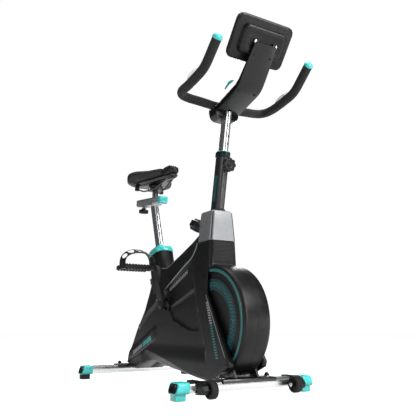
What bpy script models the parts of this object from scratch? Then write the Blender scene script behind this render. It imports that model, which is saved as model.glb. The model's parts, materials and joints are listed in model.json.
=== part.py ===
"""Upright exercise bike with a covered magnetic flywheel, built from separate pieces.

Metres, +Z up, +X forwards (towards the console), +Y to the rider's left.
The origin is on the floor under the middle of the bike.
"""
import math

import bmesh
import bpy
from mathutils import Matrix, Vector

# ---- driving dimensions (metres) ------------------------------------------
GAP = 0.0003                      # clearance between pieces that touch
FRONT_BAR_X = 0.330               # floor bar under the flywheel
REAR_BAR_X = -0.470               # floor bar behind the crank
BAR_Z = 0.0356                    # height of both floor bars' centres
BAR_WIDTH = 0.056                 # fore and aft size of a floor bar
BAR_HEIGHT = 0.031
BAR_WALL = 0.002
BAR_HALF = 0.2140                 # half length of the bare tube
TOTAL_HALF = 0.2600               # half length with its end caps
PLATE_HALF = 0.100                # half length of a bar saddle
PLATE_TOP = 0.0555                # top face of a bar saddle

WHEEL_X = 0.3850                  # transport wheel axis
WHEEL_Z = 0.0310
WHEEL_R = 0.0260
WHEEL_Y = 0.1580

CRANK = Vector((-0.100, 0.0, 0.294))
CRANK_LENGTH = 0.147
CRANK_ANGLE = math.radians(110.6)  # right crank arm, from +X towards +Z
ARM_INNER_Y = 0.0700
ARM_OUTER_Y = 0.0860
FLYWHEEL = Vector((0.220, 0.0, 0.2275))
FLYWHEEL_R = 0.165
SHROUD_R = 0.188
SHROUD_HALF = 0.0525
BELT_Y = (-0.0360, -0.0240)
CRANK_PULLEY_R = 0.0850
FLYWHEEL_PULLEY_R = 0.0170
BELT_THICKNESS = 0.0030

HEAD_POINT = Vector((0.171, 0.0, 0.609))      # on the handlebar post's axis
HEAD_AXIS = Vector((math.sin(math.radians(11.0)), 0.0, math.cos(math.radians(11.0))))
HEAD_TUBE = (0.0300, 0.0180)                  # half sizes, fore and aft by sideways
HEAD_POST = (0.0240, 0.0120)
SEAT_POINT = Vector((-0.278, 0.0, 0.531))     # on the seat post's axis
SEAT_AXIS = Vector((-math.sin(math.radians(17.5)), 0.0, math.cos(math.radians(17.5))))
SEAT_TUBE = (0.0300, 0.0180)
SEAT_POST = (0.0240, 0.0120)
SLEEVE = (0.0600, 0.0426)                     # cover round the seat tube
SLIDER_POINT = Vector((-0.345, 0.0, 0.7507))  # on the saddle slider's axis
SLIDER_AXIS = Vector((math.cos(math.radians(6.1)), 0.0, -math.sin(math.radians(6.1))))

COVER_WALL = 0.003
BAR_CENTRE_Z = 0.990                          # handlebar's middle
BAR_CENTRE_X = 0.226
GRIP_R = 0.0160

SIDES = (("right", -1.0), ("left", 1.0))


# ---- scene and materials ---------------------------------------------------
def clear_scene():
    for old in list(bpy.data.objects):
        bpy.data.objects.remove(old, do_unlink=True)


def material(name, colour, roughness, metallic=0.0):
    made = bpy.data.materials.new(name)
    made.use_nodes = True
    shader = made.node_tree.nodes["Principled BSDF"]
    shader.inputs["Base Color"].default_value = (*colour, 1.0)
    shader.inputs["Roughness"].default_value = roughness
    shader.inputs["Metallic"].default_value = metallic
    return made


clear_scene()
BLACK_PAINT = material("black_paint", (0.022, 0.022, 0.024), 0.45)
BLACK_PLASTIC = material("black_plastic", (0.020, 0.020, 0.022), 0.40)
SILVER_PLASTIC = material("silver_plastic", (0.30, 0.31, 0.32), 0.38)
TEAL_PLASTIC = material("teal_plastic", (0.06, 0.62, 0.58), 0.30)
CHROME = material("chrome", (0.80, 0.81, 0.82), 0.12, 1.0)
STEEL = material("steel", (0.50, 0.50, 0.51), 0.32, 1.0)
CAST_IRON = material("cast_iron", (0.16, 0.16, 0.17), 0.50, 1.0)
RUBBER = material("rubber", (0.020, 0.020, 0.020), 0.85)
FOAM = material("foam", (0.025, 0.025, 0.027), 0.90)
LEATHER = material("leather", (0.022, 0.022, 0.024), 0.42)


# ---- outlines and helpers ---------------------------------------------------
def oval(a, b, count=24, power=2.6):
    """Points of a rounded rectangle-like oval with half sizes a and b."""
    points = []
    for i in range(count):
        angle = 2.0 * math.pi * (i + 0.5) / count
        c = math.cos(angle)
        s = math.sin(angle)
        points.append((a * math.copysign(abs(c) ** (2.0 / power), c),
                       b * math.copysign(abs(s) ** (2.0 / power), s)))
    return points


def rounded_rectangle(half_u, half_v, radius, steps=3):
    points = []
    corners = ((1, 1, 0.0), (-1, 1, 90.0), (-1, -1, 180.0), (1, -1, 270.0))
    for su, sv, start in corners:
        for i in range(steps + 1):
            angle = math.radians(start + 90.0 * i / steps)
            points.append((su * (half_u - radius) + radius * math.cos(angle),
                           sv * (half_v - radius) + radius * math.sin(angle)))
    return points


def axes_for(direction):
    """Two unit vectors across a direction; the first lies in the XZ plane where it can."""
    along = Vector(direction).normalized()
    across = Vector((0.0, 1.0, 0.0))
    if abs(along.dot(across)) > 0.9:
        return Vector((1.0, 0.0, 0.0)), Vector((0.0, 0.0, 1.0))
    fore = across.cross(along).normalized()
    return fore, across


def ring(centre, direction, outline):
    u_axis, v_axis = axes_for(direction)
    return [Vector(centre) + u_axis * u + v_axis * v for u, v in outline]


def bore_to(points, direction, plane_point, plane_normal):
    """Slide a ring's points along a direction until they lie on a plane."""
    step = Vector(direction).normalized()
    normal = Vector(plane_normal).normalized()
    return [p + step * ((Vector(plane_point) - p).dot(normal) / step.dot(normal)) for p in points]


def add_object(name, bm, mat, origin=(0.0, 0.0, 0.0), smooth_angle=35.0):
    """Turn a bmesh into a named object whose origin is the given point."""
    bmesh.ops.recalc_face_normals(bm, faces=bm.faces)
    bm.transform(Matrix.Translation(-Vector(origin)))
    mesh = bpy.data.meshes.new(name)
    bm.to_mesh(mesh)
    bm.free()
    mesh.shade_smooth()
    mesh.set_sharp_from_angle(angle=math.radians(smooth_angle))
    mesh.materials.append(mat)
    made = bpy.data.objects.new(name, mesh)
    made.location = origin
    bpy.context.collection.objects.link(made)
    return made


def loft(name, rings, mat, loop=False, origin=(0.0, 0.0, 0.0), smooth_angle=35.0):
    """Skin rings of equal count. A loop closes on itself; otherwise the ends are capped."""
    bm = bmesh.new()
    rows = []
    for points in rings:
        rows.append([bm.verts.new(p) for p in points])
    pairs = list(zip(rows, rows[1:]))
    if loop:
        pairs.append((rows[-1], rows[0]))
    for first, second in pairs:
        count = len(first)
        for i in range(count):
            j = (i + 1) % count
            bm.faces.new((first[i], first[j], second[j], second[i]))
    if not loop:
        bm.faces.new(rows[0])
        bm.faces.new(rows[-1])
    return add_object(name, bm, mat, origin, smooth_angle)


def turned(name, profile, centre, direction, mat, count=24, loop=False,
           origin=(0.0, 0.0, 0.0), phase=0.0):
    """Revolve (radius, distance along the axis) points about an axis."""
    along = Vector(direction).normalized()
    rings = []
    for radius, distance in profile:
        outline = []
        for i in range(count):
            angle = phase + 2.0 * math.pi * i / count
            outline.append((radius * math.cos(angle), radius * math.sin(angle)))
        rings.append(ring(Vector(centre) + along * distance, along, outline))
    return loft(name, rings, mat, loop, origin)


def prism(name, outline, y_low, y_high, mat, origin=(0.0, 0.0, 0.0)):
    """Extrude an outline of (x, z) points between two y planes."""
    rings = []
    for y in (y_low, y_high):
        rings.append([Vector((x, y, z)) for x, z in outline])
    return loft(name, rings, mat, False, origin)


def as_cutter(target):
    target.hide_render = True
    target.display_type = "WIRE"
    return target


def cut(target, *cutters):
    for cutter in cutters:
        modifier = target.modifiers.new("cut", "BOOLEAN")
        modifier.operation = "DIFFERENCE"
        modifier.solver = "EXACT"
        modifier.object = cutter
    return target


def join(target, *others):
    """Weld other solids into one body with the target."""
    for other in others:
        modifier = target.modifiers.new("join", "BOOLEAN")
        modifier.operation = "UNION"
        modifier.solver = "EXACT"
        modifier.object = as_cutter(other)
    return target


def tube_curve(name, points, radius, mat, resolution=4):
    """A round bar along a smooth list of points, with its ends filled."""
    curve = bpy.data.curves.new(name, "CURVE")
    curve.dimensions = "3D"
    curve.bevel_depth = radius
    curve.bevel_resolution = resolution
    curve.use_fill_caps = True
    spline = curve.splines.new("POLY")
    spline.points.add(len(points) - 1)
    for point, place in zip(spline.points, points):
        point.co = (*place, 1.0)
    curve.materials.append(mat)
    made = bpy.data.objects.new(name, curve)
    bpy.context.collection.objects.link(made)
    return made


def smooth_path(points, steps=4):
    """Catmull-Rom curve through the points."""
    padded = [2.0 * points[0] - points[1], *points, 2.0 * points[-1] - points[-2]]
    path = []
    for a, b, c, d in zip(padded, padded[1:], padded[2:], padded[3:]):
        for i in range(steps):
            t = i / steps
            path.append(0.5 * (2.0 * b + (c - a) * t + (2.0 * a - 5.0 * b + 4.0 * c - d) * t * t
                               + (3.0 * b - a - 3.0 * c + d) * t * t * t))
    path.append(points[-1])
    return path


def lobed(radius, depth, lobes, count):
    """Outline of a star knob."""
    points = []
    for i in range(count):
        angle = 2.0 * math.pi * i / count
        r = radius - depth * 0.5 * (1.0 - math.cos(lobes * angle))
        points.append((r * math.cos(angle), r * math.sin(angle)))
    return points


# ---- floor bars --------------------------------------------------------------
def floor_bar(name, x):
    outer = rounded_rectangle(BAR_WIDTH / 2, BAR_HEIGHT / 2, 0.0125, 4)
    inner = rounded_rectangle(BAR_WIDTH / 2 - BAR_WALL, BAR_HEIGHT / 2 - BAR_WALL, 0.0105, 4)
    rings = []
    for outline, y in ((outer, -BAR_HALF), (outer, BAR_HALF), (inner, BAR_HALF), (inner, -BAR_HALF)):
        rings.append([Vector((x + u, y, BAR_Z + v)) for u, v in outline])
    return loft(name, rings, CHROME, loop=True)


def end_cap(name, x, side):
    """Moulded cap: a collar round the tube's end and a sloping outer face."""
    section = rounded_rectangle(0.0300, 0.0170, 0.0115, 4)
    rings = []
    inner = BAR_HALF + GAP
    for y, scale in ((inner, 0.985), (inner + 0.002, 1.0), (TOTAL_HALF - 0.010, 1.0),
                     (TOTAL_HALF - 0.003, 0.97), (TOTAL_HALF, 0.88)):
        outline = []
        for u, v in section:
            slope = 0.0 if y < TOTAL_HALF - 0.012 else 0.010 * (v / 0.0170 + 1.0) / 2.0
            outline.append(Vector((x + u * scale, side * (y - slope), BAR_Z + v * scale)))
        rings.append(outline)
    return loft(name, rings, TEAL_PLASTIC)


def end_foot(name, x, side, length, height_top, mat):
    """Block under an end cap that stands on the floor."""
    half_u = 0.019
    rings = []
    centre_y = side * (BAR_HALF + 0.024)
    for z, grow in ((0.0, -0.0015), (0.0015, 0.0), (height_top, 0.0)):
        outline = rounded_rectangle(half_u + grow, length / 2 + grow, 0.006, 2)
        rings.append([Vector((x + u, centre_y + v, z)) for u, v in outline])
    return loft(name, rings, mat)


def build_bars():
    under_cap = BAR_Z - 0.0170
    for end, x in (("front", FRONT_BAR_X), ("rear", REAR_BAR_X)):
        floor_bar(f"{end}_floor_bar", x)
        for label, side in SIDES:
            cap = end_cap(f"{end}_end_cap_{label}", x, side)
            if end == "front":
                foot = end_foot(f"front_foot_{label}", x, side, 0.036, under_cap + 0.004, TEAL_PLASTIC)
                join(cap, foot)
            else:
                end_foot(f"rear_foot_{label}", x, side, 0.036, under_cap - GAP, RUBBER)


def bar_saddle(name, x):
    """Steel saddle that wraps over the top and both sides of a floor bar."""
    inner_u = BAR_WIDTH / 2 + 0.0006
    outer_u = inner_u + 0.0035
    inner_top = BAR_Z + BAR_HEIGHT / 2 + 0.0005
    low = 0.0430
    outline = ((x - outer_u, low), (x - outer_u, PLATE_TOP - 0.006), (x - outer_u + 0.006, PLATE_TOP),
               (x + outer_u - 0.006, PLATE_TOP), (x + outer_u, PLATE_TOP - 0.006), (x + outer_u, low),
               (x + inner_u, low), (x + inner_u, inner_top), (x - inner_u, inner_top),
               (x - inner_u, low))
    return prism(name, outline, -PLATE_HALF, PLATE_HALF, BLACK_PAINT)


def transport_bracket(name, side):
    """Clip round the bar with an ear in front that carries a transport wheel's pin."""
    inner_u = BAR_WIDTH / 2 + 0.0006
    outer_u = inner_u + 0.0030
    top = BAR_Z + BAR_HEIGHT / 2 + 0.0005
    low = BAR_Z - BAR_HEIGHT / 2 - 0.0005
    x = FRONT_BAR_X
    outline = ((x - outer_u, low - 0.003), (x - outer_u, top + 0.003), (x + outer_u, top + 0.003),
               (WHEEL_X + 0.006, WHEEL_Z + 0.012), (WHEEL_X + 0.012, WHEEL_Z),
               (WHEEL_X + 0.006, WHEEL_Z - 0.012), (x + outer_u, low - 0.003),
               (x + outer_u - 0.012, low - 0.003), (x + inner_u - 0.012, low),
               (x + inner_u, low + 0.002), (x + inner_u, top), (x - inner_u, top),
               (x - inner_u, low - 0.003))
    y_in = side * (WHEEL_Y + 0.0130)
    y_out = side * (WHEEL_Y + 0.0330)
    bracket = prism(name, outline, y_in, y_out, BLACK_PLASTIC)
    start = WHEEL_Y - 0.0160
    profile = ((0.0070, start), (0.0070, start + 0.0040), (0.0040, start + 0.0040),
               (0.0040, WHEEL_Y + 0.0200))
    pin = turned(f"{name}_pin", profile, (WHEEL_X, 0.0, WHEEL_Z), (0, side, 0), STEEL, 12)
    return join(bracket, pin)


def transport_wheel(name, side):
    half = 0.0115
    profile = ((0.0045, -half), (0.0210, -half), (WHEEL_R, -0.0075), (WHEEL_R, 0.0075),
               (0.0210, half), (0.0045, half))
    centre = (WHEEL_X, side * WHEEL_Y, WHEEL_Z)
    turned(name, profile, centre, (0, 1, 0), BLACK_PLASTIC, 20, loop=True, origin=centre)


def build_base():
    build_bars()
    bar_saddle("front_bar_saddle", FRONT_BAR_X)
    bar_saddle("rear_bar_saddle", REAR_BAR_X)
    for label, side in SIDES:
        transport_bracket(f"transport_bracket_{label}", side)
        transport_wheel(f"transport_wheel_{label}", side)


# ---- frame --------------------------------------------------------------------
BEAM_HALF = 0.0175
BEAM_OUTLINE = ((0.1200, 0.5080), (-0.0850, 0.3350), (-0.3600, 0.1680), (-0.4200, 0.0930),
                (-0.4400, 0.0558), (-0.3950, 0.0558), (-0.3450, 0.1050), (-0.0950, 0.2530),
                (0.1075, 0.4450))
SHELL_R = 0.0210
LEG_OUTLINE = ((0.1000, 0.4100), (0.1700, 0.4100), (0.2440, 0.2350), (0.3450, 0.0558),
               (0.3050, 0.0558), (0.1960, 0.2200), (0.1000, 0.3500))
LEG_Y = (0.0385, 0.0465)


def build_frame():
    shell_hole = turned("shell_hole", ((SHELL_R + GAP, -0.05), (SHELL_R + GAP, 0.05)), CRANK,
                        (0, 1, 0), STEEL, 24)
    beam = prism("frame_main_beam", BEAM_OUTLINE, -BEAM_HALF, BEAM_HALF, BLACK_PAINT)
    cut(beam, as_cutter(shell_hole))
    profile = ((SHELL_R, -0.0215), (SHELL_R, 0.0215), (0.0104, 0.0215), (0.0104, -0.0215))
    turned("crank_bearing_shell", profile, CRANK, (0, 1, 0), STEEL, 24, loop=True)

    bottom = HEAD_POINT + HEAD_AXIS * -0.1780
    top = HEAD_POINT + HEAD_AXIS * 0.2000
    depth = HEAD_POINT + HEAD_AXIS * -0.1500
    outer = oval(*HEAD_TUBE)
    inner = oval(HEAD_POST[0] + 0.0032, HEAD_POST[1] + 0.0032)
    rings = [ring(bottom, HEAD_AXIS, outer), ring(top, HEAD_AXIS, outer),
             ring(top, HEAD_AXIS, inner), ring(depth, HEAD_AXIS, inner)]
    rings[0] = bore_to(rings[0], HEAD_AXIS, (0.0, 0.0, 0.4310), (0, 0, 1))
    head_tube = loft("frame_head_tube", rings, BLACK_PAINT)
    clamp_hole = turned("clamp_screw_hole", ((0.0045, 0.0), (0.0045, 0.060)),
                        HEAD_POINT + HEAD_AXIS * KNOB_UP, KNOB_AXIS, STEEL, 12)
    cut(head_tube, as_cutter(clamp_hole))

    crown = ((0.1000, 0.4030), (0.1680, 0.4030), (0.1700, 0.4100), (0.1760, 0.4305), (0.1000, 0.4305))
    fork = prism("frame_fork", crown, -LEG_Y[1] + 0.0005, LEG_Y[1] - 0.0005, BLACK_PAINT)
    for label, side in SIDES:
        leg = prism(f"fork_leg_{label}", LEG_OUTLINE, side * LEG_Y[0], side * LEG_Y[1], BLACK_PAINT)
        join(fork, leg)
    hole = turned("fork_axle_hole", ((0.0063, -0.06), (0.0063, 0.06)), FLYWHEEL, (0, 1, 0), STEEL, 16)
    cut(fork, as_cutter(hole))

    beam_top = Vector((-0.0850, 0.0, 0.3350))
    beam_run = Vector((-0.3600, 0.0, 0.1680)) - beam_top
    beam_normal = Vector((beam_run.z, 0.0, -beam_run.x)).normalized()
    seat_top = SEAT_POINT + SEAT_AXIS * -0.0080
    seat_low = SEAT_POINT + SEAT_AXIS * -0.2500
    seat_depth = SEAT_POINT + SEAT_AXIS * -0.2450
    outer = oval(*SEAT_TUBE)
    inner = oval(SEAT_POST[0] + 0.0006, SEAT_POST[1] + 0.0006)
    low_ring = bore_to(ring(seat_low, SEAT_AXIS, outer), SEAT_AXIS, beam_top + beam_normal * GAP,
                       beam_normal)
    rings = [low_ring, ring(seat_top, SEAT_AXIS, outer), ring(seat_top, SEAT_AXIS, inner),
             ring(seat_depth, SEAT_AXIS, inner)]
    seat_tube = loft("frame_seat_tube", rings, BLACK_PAINT)
    pin_hole = turned("seat_pin_hole", ((0.0058, 0.0), (0.0058, 0.060)),
                      SEAT_POINT + SEAT_AXIS * SEAT_PIN_UP, SEAT_PIN_AXIS, STEEL, 12)
    cut(seat_tube, as_cutter(pin_hole))


# ---- covers ---------------------------------------------------------------------
COVER_OUTLINE = ((-0.4520, 0.0600), (-0.4360, 0.1000), (-0.4080, 0.1540), (-0.3800, 0.1960),
                 (-0.3530, 0.2370), (-0.3230, 0.2770), (-0.3060, 0.3180), (-0.2930, 0.3580),
                 (-0.2850, 0.4200), (-0.2850, 0.4740), (-0.2350, 0.4560), (-0.1850, 0.4420),
                 (-0.1580, 0.4400), (-0.1230, 0.4470), (-0.0820, 0.4620), (0.1150, 0.5360),
                 (0.1260, 0.5025), (0.2040, 0.5025), (0.2040, 0.3240), (0.3500, 0.1050),
                 (0.3500, 0.0870), (0.2320, 0.0370), (0.1560, 0.0400), (0.0890, 0.0490),
                 (0.0030, 0.0560), (-0.1410, 0.0680), (-0.2280, 0.0780), (-0.2740, 0.0750),
                 (-0.3550, 0.0420), (-0.4310, 0.0420), (-0.4310, 0.0600))


def cover_depth(x, z):
    """Half width of the bike's body covers; they widen forwards and downwards."""
    return 0.0600 + 0.0175 * x - 0.0450 * (z - 0.3000)


def cover_tray(name, side):
    """Half cover: a closed tray whose rim meets the other half on the middle plane."""
    bm = bmesh.new()
    rim = [bm.verts.new((x, side * GAP / 2, z)) for x, z in COVER_OUTLINE]
    face = [bm.verts.new((x, side * cover_depth(x, z), z)) for x, z in COVER_OUTLINE]
    count = len(rim)
    for i in range(count):
        j = (i + 1) % count
        bm.faces.new((rim[i], rim[j], face[j], face[i]))
    bm.faces.new(face)
    mouth = bm.faces.new(rim)
    bmesh.ops.recalc_face_normals(bm, faces=bm.faces)
    bmesh.ops.inset_region(bm, faces=[mouth], thickness=COVER_WALL)
    floor = bmesh.ops.extrude_face_region(bm, geom=[mouth])
    bmesh.ops.delete(bm, geom=[mouth], context="FACES_ONLY")
    for item in floor["geom"]:
        if isinstance(item, bmesh.types.BMVert):
            item.co.y = side * (cover_depth(item.co.x, item.co.z) - COVER_WALL)
    return add_object(name, bm, BLACK_PLASTIC)


def sleeve_prism(name, grow):
    outline = oval(SLEEVE[0] + grow, SLEEVE[1] + grow, 28)
    rings = [ring(SEAT_POINT + SEAT_AXIS * -0.2100, SEAT_AXIS, outline),
             ring(SEAT_POINT + SEAT_AXIS * -0.0300, SEAT_AXIS, outline)]
    return as_cutter(loft(name, rings, BLACK_PLASTIC))


def build_side_covers():
    cutters = []
    chamber = turned("flywheel_chamber", ((SHROUD_R + 0.0008, -SHROUD_HALF - 0.0006),
                                          (SHROUD_R + 0.0008, SHROUD_HALF + 0.0006)),
                     FLYWHEEL, (0, 1, 0), BLACK_PLASTIC, 48)
    cutters.append(as_cutter(chamber))
    column = prism("column_opening", ((0.1295, 0.4900), (0.2005, 0.4900), (0.2005, 0.5200),
                                      (0.1295, 0.5200)), -0.0560, 0.0560, BLACK_PLASTIC)
    cutters.append(as_cutter(column))
    foot = prism("beam_foot_opening", ((-0.4430, 0.0300), (-0.3920, 0.0300), (-0.3920, 0.0760),
                                       (-0.4430, 0.0760)), -0.0180, 0.0180, BLACK_PLASTIC)
    cutters.append(as_cutter(foot))
    cutters.append(head_tube_room())
    end = prism("beam_end_opening", ((0.1000, 0.4300), (0.1350, 0.4600), (0.1350, 0.5105),
                                     (0.1050, 0.5105)), -0.0180, 0.0180, BLACK_PLASTIC)
    cutters.append(as_cutter(end))
    legs = prism("leg_opening", ((0.2780, 0.0300), (0.3560, 0.0300), (0.3380, 0.0950),
                                 (0.2600, 0.1300)), -0.0500, 0.0500, BLACK_PLASTIC)
    cutters.append(as_cutter(legs))
    cutters.append(sleeve_prism("sleeve_opening", 0.0005))
    spindle = turned("spindle_opening", ((0.0230, -0.10), (0.0230, 0.10)), CRANK, (0, 1, 0),
                     BLACK_PLASTIC, 24)
    cutters.append(as_cutter(spindle))
    for label, side in SIDES:
        cut(cover_tray(f"side_cover_{label}", side), *cutters)


def head_tube_room():
    """The head tube's shape with a clearance, to cut it out of the covers."""
    outline = oval(HEAD_TUBE[0] + 0.0008, HEAD_TUBE[1] + 0.0008)
    rings = [ring(HEAD_POINT + HEAD_AXIS * up, HEAD_AXIS, outline) for up in (-0.1500, 0.0600)]
    return as_cutter(loft("head_tube_room", rings, STEEL))


def shroud_half(name, side, leg_cutter, rear_cutter):
    """Turned shell over the front of the flywheel, with a stepped face for the trim ring."""
    half = SHROUD_HALF
    r = SHROUD_R
    wall = 0.0028
    outer = ((r, GAP / 2), (r, 0.0330), (r - 0.0025, 0.0430), (r - 0.0080, 0.0495),
             (r - 0.0120, half), (0.1630, half), (0.1610, half - 0.0030), (0.0300, half - 0.0030))
    inner = ((0.0300, half - 0.0055), (0.1620, half - 0.0055), (0.1640, half - wall),
             (r - 0.0145, half - wall), (r - 0.0105, 0.0480), (r - 0.0055, 0.0420),
             (r - wall, 0.0325), (r - wall, GAP / 2))
    shell = turned(name, outer + inner, FLYWHEEL, (0, side, 0), BLACK_PLASTIC, 48, loop=True)
    return cut(shell, rear_cutter, leg_cutter)


def build_shroud():
    rear = prism("shroud_rear_cut", ((-0.1000, 0.5000), (0.1880, 0.5000), (0.1880, 0.3190),
                                     (0.3250, 0.1080), (0.3250, -0.0500), (-0.1000, -0.0500)),
                 -0.0700, 0.0700, BLACK_PLASTIC)
    legs = prism("shroud_leg_cut", ((0.2600, 0.0300), (0.3500, 0.0300), (0.3470, 0.0950),
                                    (0.2900, 0.1600)), -0.0500, 0.0500, BLACK_PLASTIC)
    as_cutter(rear)
    as_cutter(legs)
    for label, side in SIDES:
        shroud_half(f"flywheel_cover_{label}", side, legs, rear)


def column_section(z, half, x_front, x_side, x_rear, half_rear, chamfer=0.0100):
    """Eight-sided section of the head column: chamfered in front, tapered to the rear."""
    return [Vector((x_front, -half + chamfer, z)), Vector((x_front, half - chamfer, z)),
            Vector((x_front - chamfer, half, z)), Vector((x_side, half, z)),
            Vector((x_rear, half_rear, z)), Vector((x_rear, -half_rear, z)),
            Vector((x_side, -half, z)), Vector((x_front - chamfer, -half, z))]


def build_column_covers():
    """Silver cowl round the head tube, and the black front panel below it."""
    wall = 0.0028
    low = 0.5031
    top = 0.6120
    rings = [column_section(top - 0.0070, 0.0392, 0.2060, 0.1320, 0.1120, 0.0210, 0.0080),
             column_section(low, 0.0535 - wall, 0.2144 - wall, 0.1300, 0.0800 + wall, 0.0240),
             column_section(low, 0.0535, 0.2144, 0.1290, 0.0800, 0.0260),
             column_section(top - 0.0040, 0.0420, 0.2110, 0.1300, 0.1070, 0.0240, 0.0080),
             column_section(top, 0.0385, 0.2070, 0.1340, 0.1110, 0.0210, 0.0080)]
    cowl = loft("head_cowl", rings, SILVER_PLASTIC, smooth_angle=20.0)
    stem = turned("knob_stem_hole", ((0.0060, -0.0400), (0.0060, 0.0300)), TENSION_BASE, TENSION_AXIS,
                  STEEL, 12)
    room = prism("cowl_cover_room", ((0.0500, 0.4900), (0.1400, 0.4900), (0.1266, 0.5031),
                                     (0.1156, 0.5368), (0.0500, 0.5122)), -0.0700, 0.0700,
                 SILVER_PLASTIC)
    cut(cowl, as_cutter(stem), as_cutter(room), bpy.data.objects["head_tube_room"])

    front_low = 0.4080
    x_seam = 0.2043
    x_front = 0.2144
    rings = []
    for z, half in ((front_low, 0.0580), (low - GAP, 0.0532)):
        section = ((x_seam, half), (x_front, half - 0.0100), (x_front, 0.0100 - half), (x_seam, -half),
                   (x_seam, wall - half), (x_front - wall, 0.0112 - half),
                   (x_front - wall, half - 0.0112), (x_seam, half - wall))
        rings.append([Vector((x, y, z)) for x, y in section])
    front = loft("front_cover", rings, BLACK_PLASTIC, smooth_angle=20.0)
    arch = turned("front_cover_arch", ((SHROUD_R + 0.0008, -0.08), (SHROUD_R + 0.0008, 0.08)),
                  FLYWHEEL, (0, 1, 0), BLACK_PLASTIC, 48)
    cut(front, as_cutter(arch))


def build_seat_sleeve():
    outer = oval(*SLEEVE, 28)
    inner = oval(SLEEVE[0] - 0.0028, SLEEVE[1] - 0.0028, 28)
    low = SEAT_POINT + SEAT_AXIS * -0.1950
    top = SEAT_POINT + SEAT_AXIS * -0.0330
    rings = [ring(low, SEAT_AXIS, outer), ring(top, SEAT_AXIS, outer),
             ring(top, SEAT_AXIS, inner), ring(low, SEAT_AXIS, inner)]
    sleeve = loft("seat_tube_sleeve", rings, BLACK_PLASTIC, loop=True)
    pin_hole = turned("sleeve_pin_hole", ((0.0068, 0.0), (0.0068, 0.090)),
                      SEAT_POINT + SEAT_AXIS * SEAT_PIN_UP, SEAT_PIN_AXIS, STEEL, 12)
    cut(sleeve, as_cutter(pin_hole))

    steps = ((0.0615, 0.0440, -0.0327), (0.0615, 0.0440, -0.0200), (0.0570, 0.0400, -0.0080),
             (0.0450, 0.0300, 0.0020), (0.0320, 0.0190, 0.0055), (0.0252, 0.0132, 0.0055),
             (0.0252, 0.0132, 0.0010), (0.0430, 0.0280, -0.0015), (0.0545, 0.0375, -0.0105),
             (0.0585, 0.0412, -0.0210), (0.0585, 0.0412, -0.0327))
    rings = [ring(SEAT_POINT + SEAT_AXIS * up, SEAT_AXIS, oval(a, b, 20)) for a, b, up in steps]
    loft("seat_tube_cap", rings, TEAL_PLASTIC, loop=True)


# ---- drive -----------------------------------------------------------------------
def tangent_loop(large, small, span_centre_a, span_centre_b, count_large=20, count_small=8):
    """Outline of a belt: an arc on each pulley joined by straight runs, as (x, z) points."""
    a = Vector(span_centre_a)
    b = Vector(span_centre_b)
    run = b - a
    heading = math.atan2(run.z, run.x)
    spread = math.acos((large - small) / run.length)
    points = []
    for i in range(count_large + 1):
        angle = heading + spread + (2.0 * math.pi - 2.0 * spread) * i / count_large
        points.append((a.x + large * math.cos(angle), a.z + large * math.sin(angle)))
    for i in range(count_small + 1):
        angle = heading - spread + 2.0 * spread * i / count_small
        points.append((b.x + small * math.cos(angle), b.z + small * math.sin(angle)))
    return points


def build_drive():
    half = 0.0110
    rim = FLYWHEEL_R
    profile = ((0.0062 + 0.0008, -0.0200), (0.0160, -0.0200), (0.0160, -0.0060), (0.1280, -0.0060),
               (0.1320, -half), (rim, -half), (rim, half), (0.1320, half), (0.1280, 0.0060),
               (0.0160, 0.0060), (0.0160, 0.0300), (0.0070, 0.0300))
    wheel = turned("flywheel", profile, FLYWHEEL, (0, 1, 0), CAST_IRON, 28, loop=True, origin=FLYWHEEL)

    pulley = FLYWHEEL_PULLEY_R - GAP
    low, high = BELT_Y
    profile = ((0.0072, low - 0.0018), (pulley + 0.003, low - 0.0018), (pulley + 0.003, low - 0.0004),
               (pulley, low - 0.0004), (pulley, high + 0.0004), (pulley + 0.003, high + 0.0004),
               (pulley + 0.003, -0.0190), (0.0072, -0.0190))
    join(wheel, turned("flywheel_pulley", profile, FLYWHEEL, (0, 1, 0), STEEL, 20, loop=True))
    nut = LEG_Y[1] + GAP
    profile = ((0.0090, -nut - 0.0080), (0.0090, -nut), (0.0060, -nut), (0.0060, nut), (0.0090, nut),
               (0.0090, nut + 0.0080))
    turned("flywheel_axle", profile, FLYWHEEL, (0, 1, 0), STEEL, 16)

    pulley = CRANK_PULLEY_R - 0.0007
    profile = ((0.0106, low - 0.0010), (pulley + 0.003, low - 0.0010), (pulley + 0.003, low - 0.0004),
               (pulley, low - 0.0004), (pulley, high + 0.0004), (pulley + 0.003, high + 0.0004),
               (pulley + 0.003, high + 0.0008), (0.0106, high + 0.0008))
    turned("crank_pulley", profile, CRANK, (0, 1, 0), BLACK_PLASTIC, 32, loop=True, origin=CRANK)
    profile = ((0.0070, -0.0880), (0.0100, -0.0860), (0.0100, 0.0860), (0.0070, 0.0880))
    turned("crank_spindle", profile, CRANK, (0, 1, 0), STEEL, 20, origin=CRANK)

    inner = tangent_loop(CRANK_PULLEY_R, FLYWHEEL_PULLEY_R, CRANK, FLYWHEEL)
    outer = tangent_loop(CRANK_PULLEY_R + BELT_THICKNESS, FLYWHEEL_PULLEY_R + BELT_THICKNESS, CRANK,
                         FLYWHEEL)
    rings = []
    for outline, y in ((outer, low), (outer, high), (inner, high), (inner, low)):
        rings.append([Vector((x, y, z)) for x, z in outline])
    loft("drive_belt", rings, RUBBER, loop=True)


def arm_end(side):
    """Centre of a pedal's spindle: the right arm is up, the left one is opposite."""
    turn = CRANK_ANGLE if side < 0 else CRANK_ANGLE + math.pi
    return CRANK + Vector((math.cos(turn), 0.0, math.sin(turn))) * CRANK_LENGTH


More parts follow.
